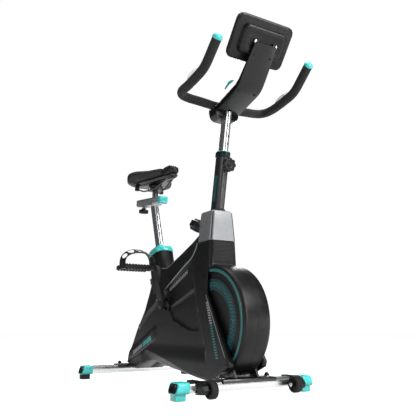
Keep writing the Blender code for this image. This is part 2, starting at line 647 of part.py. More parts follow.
def crank_arm(name, side):
    """Tapered forged arm with a round boss at each end and a bore for the spindle."""
    end = arm_end(side)
    run = (end - CRANK).normalized()
    heading = math.atan2(run.z, run.x)
    points = []
    for i in range(13):
        angle = heading + math.radians(100.0) + math.radians(160.0) * i / 12
        points.append((CRANK.x + 0.0205 * math.cos(angle), CRANK.z + 0.0205 * math.sin(angle)))
    for i in range(13):
        angle = heading - math.radians(85.0) + math.radians(170.0) * i / 12
        points.append((end.x + 0.0145 * math.cos(angle), end.z + 0.0145 * math.sin(angle)))
    arm = prism(name, points, side * ARM_INNER_Y, side * ARM_OUTER_Y, BLACK_PAINT, origin=CRANK)
    hub = turned(f"{name}_hub_bore", ((0.0104, 0.05), (0.0104, 0.12)), CRANK, (0, side, 0), STEEL, 20)
    cut(arm, as_cutter(hub))
    return join(arm, pedal_spindle(f"pedal_spindle_{name}", side))


PEDAL_START = ARM_OUTER_Y + 0.0200
PEDAL_END = PEDAL_START + 0.1220
PEDAL_HALF_X = 0.0440
PEDAL_HALF_Z = 0.0110
CAGE_LOW = -0.0090                # lower edge of a toe cage's sides, from the spindle


def pedal_spindle(name, side):
    """Stepped pin screwed into the arm's end, which the pedal turns on."""
    profile = ((0.0095, ARM_OUTER_Y - 0.0040), (0.0095, ARM_OUTER_Y + 0.0070),
               (0.0050, ARM_OUTER_Y + 0.0072), (0.0050, PEDAL_END - 0.0060))
    return turned(name, profile, arm_end(side), (0, side, 0), STEEL, 16)


def pedal(name, side):
    """Wide moulded tread with a row of teeth on both long edges and a bored core."""
    centre = arm_end(side)
    outline = []
    teeth = 7
    for i in range(teeth):
        u = -PEDAL_HALF_X + 2.0 * PEDAL_HALF_X * (i + 0.5) / teeth
        outline.append((u - 0.0045, -PEDAL_HALF_Z + 0.003))
        outline.append((u - 0.0025, -PEDAL_HALF_Z))
        outline.append((u + 0.0025, -PEDAL_HALF_Z))
        outline.append((u + 0.0045, -PEDAL_HALF_Z + 0.003))
    upper = [(-u, -v) for u, v in outline]
    points = [(centre.x + u, centre.z + v) for u, v in outline + upper]
    body = prism(name, points, side * PEDAL_START, side * PEDAL_END, BLACK_PLASTIC, origin=centre)
    bore = turned(f"{name}_bore", ((0.0053, PEDAL_START - 0.01), (0.0053, PEDAL_END - 0.0050)), centre,
                  (0, side, 0), STEEL, 16)
    return cut(body, as_cutter(bore))


def toe_cage(name, side):
    """Toe cage that bows over the front of the pedal, with a heel strap band."""
    centre = arm_end(side)
    inner = []
    outer = []
    steps = 12
    middle = (PEDAL_START + PEDAL_END) / 2
    half = (PEDAL_END - PEDAL_START) / 2 + 0.0004
    shoulder = 0.0140
    for points, grow in ((inner, 0.0), (outer, 0.0022)):
        points.append((middle - half - grow, CAGE_LOW))
        for i in range(steps + 1):
            angle = math.pi * i / steps
            rise = math.sin(angle) ** 0.8
            points.append((middle - (half + grow) * math.cos(angle),
                           shoulder + (0.0560 + grow) * rise))
        points.append((middle + half + grow, CAGE_LOW))
    loop = outer + inner[::-1]
    rings = []
    for x, factor in ((-0.0100, 1.0), (0.0140, 0.98), (0.0340, 0.86), (0.0480, 0.66)):
        row = []
        for y, z in loop:
            height = z if z <= shoulder else shoulder + (z - shoulder) * factor
            row.append(Vector((centre.x + x, side * y, centre.z + height)))
        rings.append(row)
    cage = loft(name, rings, BLACK_PLASTIC, origin=centre)
    hole = turned(f"{name}_spindle_hole", ((0.0056, ARM_OUTER_Y), (0.0056, PEDAL_START + 0.02)), centre,
                  (0, side, 0), STEEL, 16)
    return cut(cage, as_cutter(hole))


def build_cranks():
    for label, side in SIDES:
        crank_arm(f"crank_arm_{label}", side)
        pedal(f"pedal_{label}", side)
        toe_cage(f"toe_cage_{label}", side)


# ---- resistance --------------------------------------------------------------------
TENSION_AXIS = Vector((-math.cos(math.radians(20.0)), 0.0, math.sin(math.radians(20.0))))
TENSION_BASE = Vector((0.0880, 0.0, 0.5640))
BRAKE_ANGLE = math.radians(126.0)
BRAKE_PIVOT = FLYWHEEL + Vector((math.cos(BRAKE_ANGLE), 0.0, math.sin(BRAKE_ANGLE))) * (FLYWHEEL_R + 0.0145)


def build_resistance():
    """Knob on the column, and the magnet arm that it pulls towards the flywheel's rim."""
    profile = ((0.0052, -0.0300), (0.0052, 0.0120), (0.0160, 0.0130), (0.0180, 0.0360),
               (0.0240, 0.0400), (0.0250, 0.0500), (0.0250, 0.0760), (0.0205, 0.0810))
    knob_centre = TENSION_BASE
    rings = []
    for index, (radius, distance) in enumerate(profile):
        depth = 0.0032 if index >= 4 else 0.0
        outline = lobed(radius, depth, 8, 24)
        rings.append(ring(knob_centre + TENSION_AXIS * distance, TENSION_AXIS, outline))
    loft("resistance_knob", rings, BLACK_PLASTIC, origin=TENSION_BASE)

    outer = []
    inner = []
    for i in range(9):
        angle = math.radians(123.0 + 55.0 * i / 8)
        for points, radius in ((outer, FLYWHEEL_R + 0.0190), (inner, FLYWHEEL_R + 0.0100)):
            points.append((FLYWHEEL.x + radius * math.cos(angle), FLYWHEEL.z + radius * math.sin(angle)))
    arm = prism("brake_magnet_arm", outer + inner[::-1], -0.0140, 0.0140, STEEL, origin=BRAKE_PIVOT)
    reach = LEG_Y[0] - GAP
    pin = turned("brake_pin", ((0.0032, -reach), (0.0032, reach)), BRAKE_PIVOT, (0, 1, 0), STEEL, 12)
    return join(arm, pin)


# ---- handlebar post, bar and console -------------------------------------------------
KNOB_UP = 0.1720
KNOB_AXIS = Vector((HEAD_AXIS.z, 0.0, -HEAD_AXIS.x))
POST_TOP_UP = 0.3660


def build_head_post():
    post_low = HEAD_POINT + HEAD_AXIS * -0.0600
    post_top = HEAD_POINT + HEAD_AXIS * POST_TOP_UP
    outer = oval(*HEAD_POST)
    inner = oval(HEAD_POST[0] - 0.0022, HEAD_POST[1] - 0.0022)
    rings = [ring(post_top - HEAD_AXIS * 0.0030, HEAD_AXIS, inner), ring(post_low, HEAD_AXIS, inner),
             ring(post_low, HEAD_AXIS, outer), ring(post_top, HEAD_AXIS, outer)]
    loft("handlebar_post", rings, CHROME)

    collar_low = HEAD_POINT + HEAD_AXIS * 0.2003
    bush_low = HEAD_POINT + HEAD_AXIS * 0.1850
    collar_top = collar_low + HEAD_AXIS * 0.0220
    hole = oval(HEAD_POST[0] + 0.0004, HEAD_POST[1] + 0.0004)
    bush = oval(HEAD_POST[0] + 0.0028, HEAD_POST[1] + 0.0028)
    rings = [ring(bush_low, HEAD_AXIS, bush), ring(collar_low, HEAD_AXIS, bush),
             ring(collar_low, HEAD_AXIS, oval(0.0325, 0.0205)),
             ring(collar_low + HEAD_AXIS * 0.0180, HEAD_AXIS, oval(0.0325, 0.0205)),
             ring(collar_top, HEAD_AXIS, oval(0.0285, 0.0165)), ring(collar_top, HEAD_AXIS, hole),
             ring(bush_low, HEAD_AXIS, hole)]
    loft("head_collar", rings, TEAL_PLASTIC, loop=True)

    start = HEAD_POINT + HEAD_AXIS * KNOB_UP
    steps = ((0.0042, 0.0265, 0.0), (0.0042, 0.0360, 0.0), (0.0100, 0.0366, 0.0),
             (0.0110, 0.0400, 0.0), (0.0240, 0.0410, 0.0050), (0.0260, 0.0450, 0.0060),
             (0.0260, 0.0530, 0.0060), (0.0220, 0.0570, 0.0050))
    rings = []
    for radius, distance, depth in steps:
        rings.append(ring(start + KNOB_AXIS * distance, KNOB_AXIS, lobed(radius, depth, 8, 24)))
    loft("handlebar_height_knob", rings, BLACK_PLASTIC, origin=start)


def handlebar_half():
    """Right half of the bar, from the middle to the horn's tip (y is made negative)."""
    z = BAR_CENTRE_Z
    return [Vector((BAR_CENTRE_X, 0.000, z)), Vector((0.2250, -0.050, z)),
            Vector((0.2200, -0.105, z + 0.006)), Vector((0.2120, -0.140, z + 0.012)),
            Vector((0.2160, -0.170, z + 0.016)), Vector((0.2420, -0.186, z + 0.018)),
            Vector((0.2900, -0.188, z + 0.021)), Vector((0.3450, -0.188, z + 0.030)),
            Vector((0.3800, -0.188, z + 0.038)), Vector((0.4060, -0.188, z + 0.052)),
            Vector((0.4330, -0.188, z + 0.076)), Vector((0.4680, -0.188, z + 0.1080))]


def build_handlebar():
    half = handlebar_half()
    mirrored = [Vector((p.x, -p.y, p.z)) for p in half[1:]]
    points = smooth_path(half[::-1] + mirrored, 2)
    tube_curve("handlebar", points, GRIP_R, FOAM, 3)
    tip = half[-1]
    run = (half[-1] - half[-2]).normalized()
    for label, side in SIDES:
        base = Vector((tip.x, -side * tip.y, tip.z))
        profile = ((0.0165, GAP), (0.0165, 0.0060), (0.0150, 0.0110), (0.0110, 0.0150),
                   (0.0050, 0.0172))
        turned(f"horn_cap_{label}", profile, base, run, TEAL_PLASTIC, 20)
    build_bracket()


BRACKET_LINE = ((0.1950, 0.9640), (0.2500, 0.9640), (0.3820, 1.0010), (0.4290, 1.0598),
                (0.4800, 1.1253))
BRACKET_HALF = (0.0485, 0.0485, 0.0490, 0.0475, 0.0430)
BRACKET_DEPTH = (0.0180, 0.0180, 0.0180, 0.0110, 0.0110)
CLAMP_X = (0.1960, 0.2440)        # rear and front faces of the block that clamps the post
CONSOLE_BOTTOM = Vector((0.4079, 0.0, 1.0839))
CONSOLE_TOP = Vector((0.4987, 0.0, 1.2035))
CONSOLE_RISE = (CONSOLE_TOP - CONSOLE_BOTTOM).normalized()
CONSOLE_OUT = Vector((-CONSOLE_RISE.z, 0.0, CONSOLE_RISE.x))      # towards the rider
CONSOLE_PIVOT = CONSOLE_BOTTOM + CONSOLE_RISE * 0.0770 - CONSOLE_OUT * 0.0250


def offset_line(points, distances):
    """Shift an open (x, z) line sideways by a distance at each point, mitred at its corners."""
    moved = []
    for i, ((x, z), distance) in enumerate(zip(points, distances)):
        before = Vector(points[max(i - 1, 0)])
        after = Vector(points[min(i + 1, len(points) - 1)])
        here = Vector((x, z))
        first = (here - before).normalized() if i > 0 else (after - here).normalized()
        second = (after - here).normalized() if i < len(points) - 1 else first
        normal = Vector((-(first + second).y, (first + second).x)).normalized()
        side_step = distance / max(0.5, normal.dot(Vector((-first.y, first.x))))
        moved.append((x + normal.x * side_step, z + normal.y * side_step))
    return moved


def build_bracket():
    """Plate that bends up from the handlebar clamp to the console, with side flanges above it."""
    lower = list(BRACKET_LINE)
    upper = offset_line(lower, BRACKET_DEPTH)
    plate_top = offset_line(lower, [0.0030] * len(lower))
    rings = []
    for low, mid, high, half in zip(lower, plate_top, upper, BRACKET_HALF):
        flange = half - 0.0030
        section = ((half, low), (half, high), (flange, high), (flange, mid), (-flange, mid),
                   (-flange, high), (-half, high), (-half, low))
        rings.append([Vector((x, y, z)) for y, (x, z) in section])
    bracket = loft("console_bracket", rings, BLACK_PLASTIC, smooth_angle=25.0)
    room = turned("bracket_bar_room", ((GRIP_R + 0.0010, -0.07), (GRIP_R + 0.0010, 0.07)),
                  (BAR_CENTRE_X, 0.0, BAR_CENTRE_Z), (0, 1, 0), STEEL, 24)
    cut(bracket, as_cutter(room))

    base = HEAD_POINT + HEAD_AXIS * (POST_TOP_UP - 0.0320)
    half = BRACKET_HALF[0]
    section = [(half, 0.9650), (half, 0.9600)]
    for i in range(1, 6):
        turn = math.radians(18.0 * i)
        section.append((half - 0.0250 * (1.0 - math.cos(turn)), 0.9600 - 0.0220 * math.sin(turn)))
    section += [(-y, z) for y, z in reversed(section)]
    rings = [[Vector((x, y, z)) for y, z in section] for x in CLAMP_X]
    block = loft("clamp_block", rings, BLACK_PAINT)
    post_room = loft("clamp_post_room", [ring(base - HEAD_AXIS * 0.02, HEAD_AXIS, oval(0.0244, 0.0124)),
                                         ring(base + HEAD_AXIS * 0.0323, HEAD_AXIS,
                                              oval(0.0244, 0.0124))], STEEL)
    join(bracket, block)
    cut(bracket, as_cutter(post_room))


def build_console():
    """Display housing that tilts on the bracket, with three keys under its screen."""
    rise = CONSOLE_RISE
    out = CONSOLE_OUT
    middle = (CONSOLE_TOP + CONSOLE_BOTTOM) / 2
    half_up = (CONSOLE_TOP - CONSOLE_BOTTOM).length / 2
    half_wide = 0.1135

    def station(offset, shrink, radius):
        outline = rounded_rectangle(half_wide - shrink, half_up - shrink, radius, 3)
        return [middle + out * offset + rise * v + Vector((0.0, u, 0.0)) for u, v in outline]

    rings = [station(-0.0180, 0.0340, 0.0140), station(-0.0150, 0.0300, 0.0160),
             station(0.0, 0.0260, 0.0180), station(0.0020, 0.0060, 0.0200),
             station(0.0060, 0.0010, 0.0220), station(0.0120, 0.0, 0.0220),
             station(0.0190, 0.0010, 0.0220), station(0.0220, 0.0050, 0.0200)]
    housing = loft("console_housing", rings, BLACK_PLASTIC)
    pocket_rings = []
    for offset in (0.0205, 0.0300):
        outline = rounded_rectangle(0.0850, 0.0370, 0.0060, 2)
        pocket_rings.append([middle + out * offset + rise * (v + 0.0190) + Vector((0.0, u, 0.0))
                             for u, v in outline])
    pocket = as_cutter(loft("screen_pocket", pocket_rings, BLACK_PLASTIC))
    key_pockets = []
    for label, y in (("right", -0.045), ("centre", 0.0), ("left", 0.045)):
        base = middle - rise * 0.0420 + Vector((0.0, y, 0.0))
        profile = ((0.0086, 0.0170), (0.0086, 0.0235), (0.0072, 0.0250))
        turned(f"console_key_{label}", profile, base, out, TEAL_PLASTIC, 16)
        hole = turned(f"key_pocket_{label}", ((0.0090, 0.0140), (0.0090, 0.0300)), base, out, STEEL, 16)
        key_pockets.append(as_cutter(hole))
    for label, side in SIDES:
        lug = []
        for y in (0.0310, 0.0388):
            lug.append([CONSOLE_PIVOT + out * u + rise * v + Vector((0.0, side * y, 0.0))
                        for u, v in ((0.0130, -0.0090), (0.0130, 0.0090), (0.0000, 0.0050),
                                     (-0.0030, 0.0000), (0.0000, -0.0050))])
        join(housing, loft(f"console_lug_{label}", lug, BLACK_PLASTIC))
    cut(housing, pocket, *key_pockets)


# ---- seat -----------------------------------------------------------------------------
SEAT_PIN_UP = -0.1150
SEAT_PIN_AXIS = Vector((-SEAT_AXIS.z, 0.0, SEAT_AXIS.x))
SEAT_POST_TOP = 0.2130


def build_seat_post():
    low = SEAT_POINT + SEAT_AXIS * -0.1700
    top = SEAT_POINT + SEAT_AXIS * SEAT_POST_TOP
    outer = oval(*SEAT_POST)
    inner = oval(SEAT_POST[0] - 0.0022, SEAT_POST[1] - 0.0022)
    plane = SLIDER_POINT + slider_up() * -0.0196
    top_ring = bore_to(ring(top, SEAT_AXIS, outer), SEAT_AXIS, plane, slider_up())
    rings = [ring(top - SEAT_AXIS * 0.0180, SEAT_AXIS, inner), ring(low, SEAT_AXIS, inner),
             ring(low, SEAT_AXIS, outer), top_ring]
    loft("seat_post", rings, CHROME)

    start = SEAT_POINT + SEAT_AXIS * SEAT_PIN_UP
    steps = ((0.0052, 0.0244, 0.0), (0.0052, 0.0640, 0.0), (0.0120, 0.0645, 0.0), (0.0125, 0.0700, 0.0),
             (0.0200, 0.0710, 0.0040), (0.0215, 0.0750, 0.0045), (0.0215, 0.0880, 0.0045),
             (0.0180, 0.0915, 0.0040))
    rings = []
    for radius, distance, depth in steps:
        rings.append(ring(start + SEAT_PIN_AXIS * distance, SEAT_PIN_AXIS, lobed(radius, depth, 6, 24)))
    loft("seat_height_knob", rings, BLACK_PLASTIC, origin=start)


def slider_up():
    return Vector((-SLIDER_AXIS.z, 0.0, SLIDER_AXIS.x))


def slider_frame(along, up, y=0.0):
    """Point in the slider's own directions, measured from its middle."""
    return SLIDER_POINT + SLIDER_AXIS * along + slider_up() * up + Vector((0.0, y, 0.0))


def slider_prism(name, outline, start, end, mat, loop=False):
    """Extrude (across, up) points along the slider's axis."""
    rings = []
    for along in (start, end):
        rings.append([slider_frame(along, up, y) for y, up in outline])
    return loft(name, rings, mat, loop)


SLIDER_REAR = -0.1465
SLIDER_FRONT = 0.0750


def build_slider():
    half_w = 0.0190
    half_h = 0.0150
    outer = rounded_rectangle(half_w, half_h, 0.0040, 2)
    inner = rounded_rectangle(half_w - 0.0020, half_h - 0.0020, 0.0025, 2)
    rings = []
    for outline, along in ((outer, SLIDER_REAR), (outer, SLIDER_FRONT), (inner, SLIDER_FRONT),
                           (inner, SLIDER_REAR)):
        rings.append([slider_frame(along, up, y) for y, up in outline])
    loft("saddle_slider", rings, CHROME, loop=True)

    rings = []
    for along, grow in ((SLIDER_FRONT + GAP, 0.0), (SLIDER_FRONT + 0.0160, 0.0), (SLIDER_FRONT + 0.0210, -0.0030)):
        outline = rounded_rectangle(half_w + 0.0005 + grow, half_h + 0.0005 + grow, 0.0045, 2)
        rings.append([slider_frame(along, up, y) for y, up in outline])
    loft("slider_front_cap", rings, TEAL_PLASTIC)

    side = half_w + 0.0004
    under = -half_h - 0.0004
    cradle = ((side, 0.0060), (side + 0.0035, 0.0060), (side + 0.0035, under - 0.0038),
              (-side - 0.0035, under - 0.0038), (-side - 0.0035, 0.0060), (-side, 0.0060), (-side, under),
              (side, under))
    body = slider_prism("slider_cradle", cradle, -0.1250, 0.0330, BLACK_PAINT)
    screw = turned("cradle_screw_hole", ((0.0044, -0.0300), (0.0044, 0.0010)),
                   slider_frame(KNOB_ALONG, 0.0), slider_up(), STEEL, 12)
    cut(body, as_cutter(screw))

    steps = ((0.0180, -0.0480, 0.0040), (0.0215, -0.0445, 0.0045), (0.0215, -0.0330, 0.0045),
             (0.0200, -0.0300, 0.0040), (0.0110, -0.0290, 0.0), (0.0100, -0.0240, 0.0),
             (0.0040, -0.0230, 0.0), (0.0040, under - GAP, 0.0))
    rings = []
    for radius, distance, depth in steps:
        rings.append(ring(slider_frame(KNOB_ALONG, distance), slider_up(), lobed(radius, depth, 6, 24)))
    loft("slider_knob", rings, BLACK_PLASTIC, origin=slider_frame(KNOB_ALONG, 0.0))


KNOB_ALONG = -0.1030
SADDLE_STEM_X = -0.3370


def saddle_section(x):
    """Half width, top and underside height of the cushion at a place along the bike."""
    rear, nose = -0.4480, -0.1400
    t = (x - rear) / (nose - rear)
    half = 0.1080 - 0.0790 * min(1.0, max(0.0, (t - 0.18) / 0.50)) ** 1.15
    top = 0.8870 - 0.0190 * math.sin(math.pi * min(1.0, max(0.0, (t - 0.10) / 0.80))) + 0.0020 * t
    under = 0.8270 + 0.0210 * min(1.0, max(0.0, t / 0.55))
    return half, top, under


def build_saddle():
    stem_base = slider_frame(0.008, 0.0168)
    profile = ((0.0125, 0.0), (0.0125, 0.0340))
    stem = turned("saddle_stem", profile, stem_base, (0, 0, 1), BLACK_PAINT, 16)

    block = rounded_rectangle(0.0260, 0.0240, 0.0060, 2)
    low = stem_base.z + 0.0284
    rings = []
    for z in (low + 0.0002, low + 0.0210):
        rings.append([Vector((stem_base.x + u, v, z)) for u, v in block])
    join(loft("saddle_clamp", rings, BLACK_PAINT), stem)

    rings = []
    low_z = low + 0.0213
    for x, half, z_low, z_high in ((-0.4300, 0.0880, 0.8200, 0.8266), (-0.3600, 0.0800, low_z, 0.8285),
                                   (-0.2900, 0.0420, low_z + 0.001, 0.8335),
                                   (-0.2300, 0.0240, low_z + 0.004, 0.8395),
                                   (-0.1640, 0.0190, 0.8260, 0.8455)):
        rings.append([Vector((x, -half, z_low + 0.002)), Vector((x, -half * 0.6, z_low)),
                      Vector((x, half * 0.6, z_low)), Vector((x, half, z_low + 0.002)),
                      Vector((x, half, z_high)), Vector((x, -half, z_high))])
    loft("saddle_base", rings, BLACK_PLASTIC)

    rings = []
    for x in (-0.4480, -0.4420, -0.4200, -0.3850, -0.3400, -0.3000, -0.2600, -0.2200, -0.1800, -0.1520, -0.1400):
        half, top, under = saddle_section(x)
        end = 0.62 if x in (-0.4480, -0.1400) else 0.86 if x in (-0.4420, -0.1520) else 1.0
        under = max(under, saddle_floor(x))
        middle = (top + under) / 2
        high = middle + (top - middle) * end
        low_edge = middle + (under - middle) * end
        wide = half * (0.80 if end < 0.7 else 0.94 if end < 0.9 else 1.0)
        shape = ((-0.85, 0.0), (0.85, 0.0), (1.0, 0.25), (0.98, 0.62), (0.80, 0.92), (0.35, 1.0),
                 (-0.35, 1.0), (-0.80, 0.92), (-0.98, 0.62), (-1.0, 0.25))
        rings.append([Vector((x, wide * u, low_edge + (high - low_edge) * v)) for u, v in shape])
    loft("saddle_cushion", rings, LEATHER)


def saddle_floor(x):
    """Height of the base plate's top under the cushion, with a clearance."""
    stations = ((-0.4480, 0.8266), (-0.4300, 0.8266), (-0.3600, 0.8285), (-0.2900, 0.8335),
                (-0.2300, 0.8395), (-0.1640, 0.8455), (-0.1400, 0.8455))
    for (x0, z0), (x1, z1) in zip(stations, stations[1:]):
        if x <= x1:
            return z0 + (z1 - z0) * (x - x0) / (x1 - x0) + 0.0008
    return stations[-1][1]


build_base()
build_frame()
build_side_covers()
build_shroud()
build_column_covers()
build_seat_sleeve()
build_drive()
build_cranks()
build_resistance()
build_head_post()
build_handlebar()
build_console()
build_seat_post()
build_slider()
build_saddle()
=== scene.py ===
"""Looks of an upright exercise bike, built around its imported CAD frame.

Metres, +Z up, +X forwards (towards the display), +Y to the rider's left.
"""
import json
import math

import bmesh
import bpy
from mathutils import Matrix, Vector
from mathutils.geometry import delaunay_2d_cdt


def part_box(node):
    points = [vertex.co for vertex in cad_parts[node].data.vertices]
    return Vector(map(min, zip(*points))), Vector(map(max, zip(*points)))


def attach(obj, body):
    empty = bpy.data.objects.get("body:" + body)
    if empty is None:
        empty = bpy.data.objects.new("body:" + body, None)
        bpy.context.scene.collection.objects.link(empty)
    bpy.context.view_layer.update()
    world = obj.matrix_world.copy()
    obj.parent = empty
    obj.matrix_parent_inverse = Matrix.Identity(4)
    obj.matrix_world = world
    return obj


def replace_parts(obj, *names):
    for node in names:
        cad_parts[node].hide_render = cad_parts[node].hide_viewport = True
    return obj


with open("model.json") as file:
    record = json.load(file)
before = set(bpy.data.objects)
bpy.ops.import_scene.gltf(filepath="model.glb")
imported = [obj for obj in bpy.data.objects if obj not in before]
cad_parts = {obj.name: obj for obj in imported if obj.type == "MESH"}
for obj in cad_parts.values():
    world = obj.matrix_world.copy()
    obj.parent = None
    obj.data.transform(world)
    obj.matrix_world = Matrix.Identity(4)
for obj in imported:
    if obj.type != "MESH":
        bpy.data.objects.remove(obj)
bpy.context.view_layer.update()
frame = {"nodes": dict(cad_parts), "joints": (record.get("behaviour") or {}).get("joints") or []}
NODES = frame["nodes"]
SIDES = (("right", -1.0), ("left", 1.0))
Y_AXIS = Vector((0.0, 1.0, 0.0))


def middle(node):
    """Centre of a CAD node's box."""
    low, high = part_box(node)
    return (low + high) / 2


def joint(name):
    return next(j for j in frame["joints"] if j["name"] == name)


def joint_point(name):
    return Vector(joint(name)["pos_m"])


def joint_axis(name):
    return Vector(joint(name)["axis"])


# ---- places taken from the frame ------------------------------------------------
CRANK = joint_point("crank_spin")
HUB = joint_point("flywheel_spin")
HEAD_AXIS = joint_axis("handlebar_height")
SEAT_AXIS = joint_axis("seat_height")
SLIDER_AXIS = joint_axis("saddle_fore_aft")
SLIDER_UP = joint_axis("slider_clamp_turn")
HEAD_X, HEAD_Z = 0.171, 0.609     # a point on the handlebar post's axis
HEAD_POINT = Vector((HEAD_X, 0.0, HEAD_Z))
SEAT_TOP = Vector((-0.278, 0.0, 0.531))  # on the seat post's axis
SLIDER_MIDDLE = Vector((-0.345, 0.0, 0.7507))  # on the saddle slider's axis
CRANK_CENTRE = Vector((CRANK.x, 0.0, CRANK.z))
SHROUD_R = 0.188                  # radius of the flywheel cover
SHROUD_HALF = 0.0525              # its half width over the dished faces
POST_HALF = (0.024, 0.012)      # half sizes of both posts' flattened section
POST_WALL = 0.0022
TUBE_BEND = 2.6                   # power that squares off the posts' and sleeves' ovals


# ---- materials -------------------------------------------------------------------
def new_material(name, colour, roughness, metallic=0.0, specular=0.5, coat=0.0, sheen=0.0):
    """Principled material; the values that are the same everywhere sit on its own sockets."""
    made = bpy.data.materials.new(name)
    made.use_nodes = True
    shader = made.node_tree.nodes["Principled BSDF"]
    shader.inputs["Base Color"].default_value = (*colour, 1.0)
    shader.inputs["Roughness"].default_value = roughness
    shader.inputs["Metallic"].default_value = metallic
    shader.inputs["Specular IOR Level"].default_value = specular
    shader.inputs["Coat Weight"].default_value = coat
    shader.inputs["Sheen Weight"].default_value = sheen
    return made


def add_node(tree, kind, **inputs):
    node = tree.nodes.new(kind)
    for name, value in inputs.items():
        node.inputs[name.replace("_", " ")].default_value = value
    return node


def coordinates(tree):
    return tree.nodes.new("ShaderNodeTexCoord").outputs["Object"]


def noise(tree, scale, detail=3.0, stretch=None):
    """Noise in metres: scale is in cells per metre, and stretch squeezes it along the axes."""
    source = coordinates(tree)
    if stretch:
        mapping = tree.nodes.new("ShaderNodeMapping")
        mapping.inputs["Scale"].default_value = stretch
        tree.links.new(source, mapping.inputs["Vector"])
        source = mapping.outputs["Vector"]
    texture = add_node(tree, "ShaderNodeTexNoise", Scale=scale, Detail=detail)
    tree.links.new(source, texture.inputs["Vector"])
    return texture.outputs["Fac"]


def cells(tree, scale):
    texture = add_node(tree, "ShaderNodeTexVoronoi", Scale=scale)
    tree.links.new(coordinates(tree), texture.inputs["Vector"])
    return texture.outputs["Distance"]


def remap(tree, value, low, high, out_low, out_high):
    node = tree.nodes.new("ShaderNodeMapRange")
    for name, number in (("From Min", low), ("From Max", high), ("To Min", out_low),
            ("To Max", out_high)):
        node.inputs[name].default_value = number
    tree.links.new(value, node.inputs["Value"])
    return node.outputs["Result"]


def vary_colour(made, value, dark, light):
    """Base colour between two colours, led by a texture value from 0 to 1."""
    tree = made.node_tree
    mix = tree.nodes.new("ShaderNodeMix")
    mix.data_type = "RGBA"
    mix.inputs["A"].default_value = (*dark, 1.0)
    mix.inputs["B"].default_value = (*light, 1.0)
    tree.links.new(value, mix.inputs["Factor"])
    tree.links.new(mix.outputs["Result"], tree.nodes["Principled BSDF"].inputs["Base Color"])


def vary_roughness(made, value, low, high):
    tree = made.node_tree
    tree.links.new(remap(tree, value, 0.3, 0.7, low, high),
        tree.nodes["Principled BSDF"].inputs["Roughness"])


def add_bump(made, height, distance, strength=1.0):
    """Bump in metres; several calls on one material stack up."""
    tree = made.node_tree
    shader = tree.nodes["Principled BSDF"]
    bump = add_node(tree, "ShaderNodeBump", Strength=strength, Distance=distance)
    tree.links.new(height, bump.inputs["Height"])
    if shader.inputs["Normal"].is_linked:
        tree.links.new(shader.inputs["Normal"].links[0].from_socket, bump.inputs["Normal"])
    tree.links.new(bump.outputs["Normal"], shader.inputs["Normal"])


def scaled_colour(colour, factor):
    return tuple(channel * factor for channel in colour)


def plastic(name, colour, roughness, grain=2600.0, depth=0.00006, coat=0.0, specular=0.5):
    """Moulded plastic: fine spark-eroded grain, soft tone drift and slight polish marks."""
    made = new_material(name, colour, roughness, coat=coat, specular=specular)
    tree = made.node_tree
    drift = noise(tree, 14.0, 4.0)
    vary_colour(made, drift, scaled_colour(colour, 0.82), scaled_colour(colour, 1.18))
    vary_roughness(made, noise(tree, 60.0, 5.0), roughness - 0.05, roughness + 0.07)
    add_bump(made, noise(tree, grain, 2.0), depth)
    return made


def paint(name, colour, roughness):
    """Powder coat: orange-peel skin with a few dull patches."""
    made = new_material(name, colour, roughness, coat=0.15)
    tree = made.node_tree
    vary_colour(made, noise(tree, 20.0, 4.0), scaled_colour(colour, 0.85), scaled_colour(colour, 1.2))
    vary_roughness(made, noise(tree, 45.0, 4.0), roughness - 0.06, roughness + 0.08)
    add_bump(made, noise(tree, 900.0, 2.0), 0.00012)
    return made


def metal(name, colour, roughness, stretch, depth=0.00002, marks=1.0):
    """Metal with fine drawn lines along one axis and faint handling marks."""
    made = new_material(name, colour, roughness, metallic=1.0)
    tree = made.node_tree
    lines = noise(tree, 700.0, 3.0, stretch)
    vary_colour(made, lines, scaled_colour(colour, 0.9), scaled_colour(colour, 1.08))
    vary_roughness(made, noise(tree, 35.0, 5.0), roughness - 0.04 * marks, roughness + 0.08 * marks)
    if depth:
        add_bump(made, lines, depth)
    return made


def foam_material():
    made = new_material("foam_grip", (0.007, 0.007, 0.0078), 0.72, specular=0.3, sheen=0.05)
    tree = made.node_tree
    vary_colour(made, noise(tree, 40.0, 4.0), (0.005, 0.005, 0.0056), (0.0092, 0.0092, 0.01))
    add_bump(made, cells(tree, 1100.0), 0.0004)
    add_bump(made, noise(tree, 300.0, 4.0), 0.0003)
    return made


def leather_material():
    """Synthetic leather: pebbled grain, a satin face and slightly worn high spots."""
    made = new_material("saddle_leather", (0.008, 0.008, 0.0085), 0.4, specular=0.3)
    tree = made.node_tree
    vary_colour(made, noise(tree, 25.0, 4.0), (0.0058, 0.0058, 0.0062), (0.0115, 0.0112, 0.0112))
    vary_roughness(made, noise(tree, 50.0, 5.0), 0.34, 0.52)
    add_bump(made, cells(tree, 620.0), 0.00025)
    add_bump(made, noise(tree, 1500.0, 2.0), 0.0001)
    return made


def rubber_material():
    made = new_material("rubber", (0.006, 0.006, 0.006), 0.7, specular=0.3)
    tree = made.node_tree
    vary_colour(made, noise(tree, 30.0, 4.0), (0.0045, 0.0045, 0.0045), (0.0095, 0.0095, 0.0095))
    add_bump(made, noise(tree, 1200.0, 3.0), 0.00015)
    return made


def glass_material():
    """Dark screen glass with faint smears."""
    made = new_material("screen_glass", (0.006, 0.007, 0.008), 0.06, specular=0.6, coat=0.5)
    tree = made.node_tree
    vary_colour(made, noise(tree, 30.0, 3.0), (0.005, 0.006, 0.007), (0.009, 0.01, 0.011))
    vary_roughness(made, noise(tree, 80.0, 5.0), 0.05, 0.12)
    return made


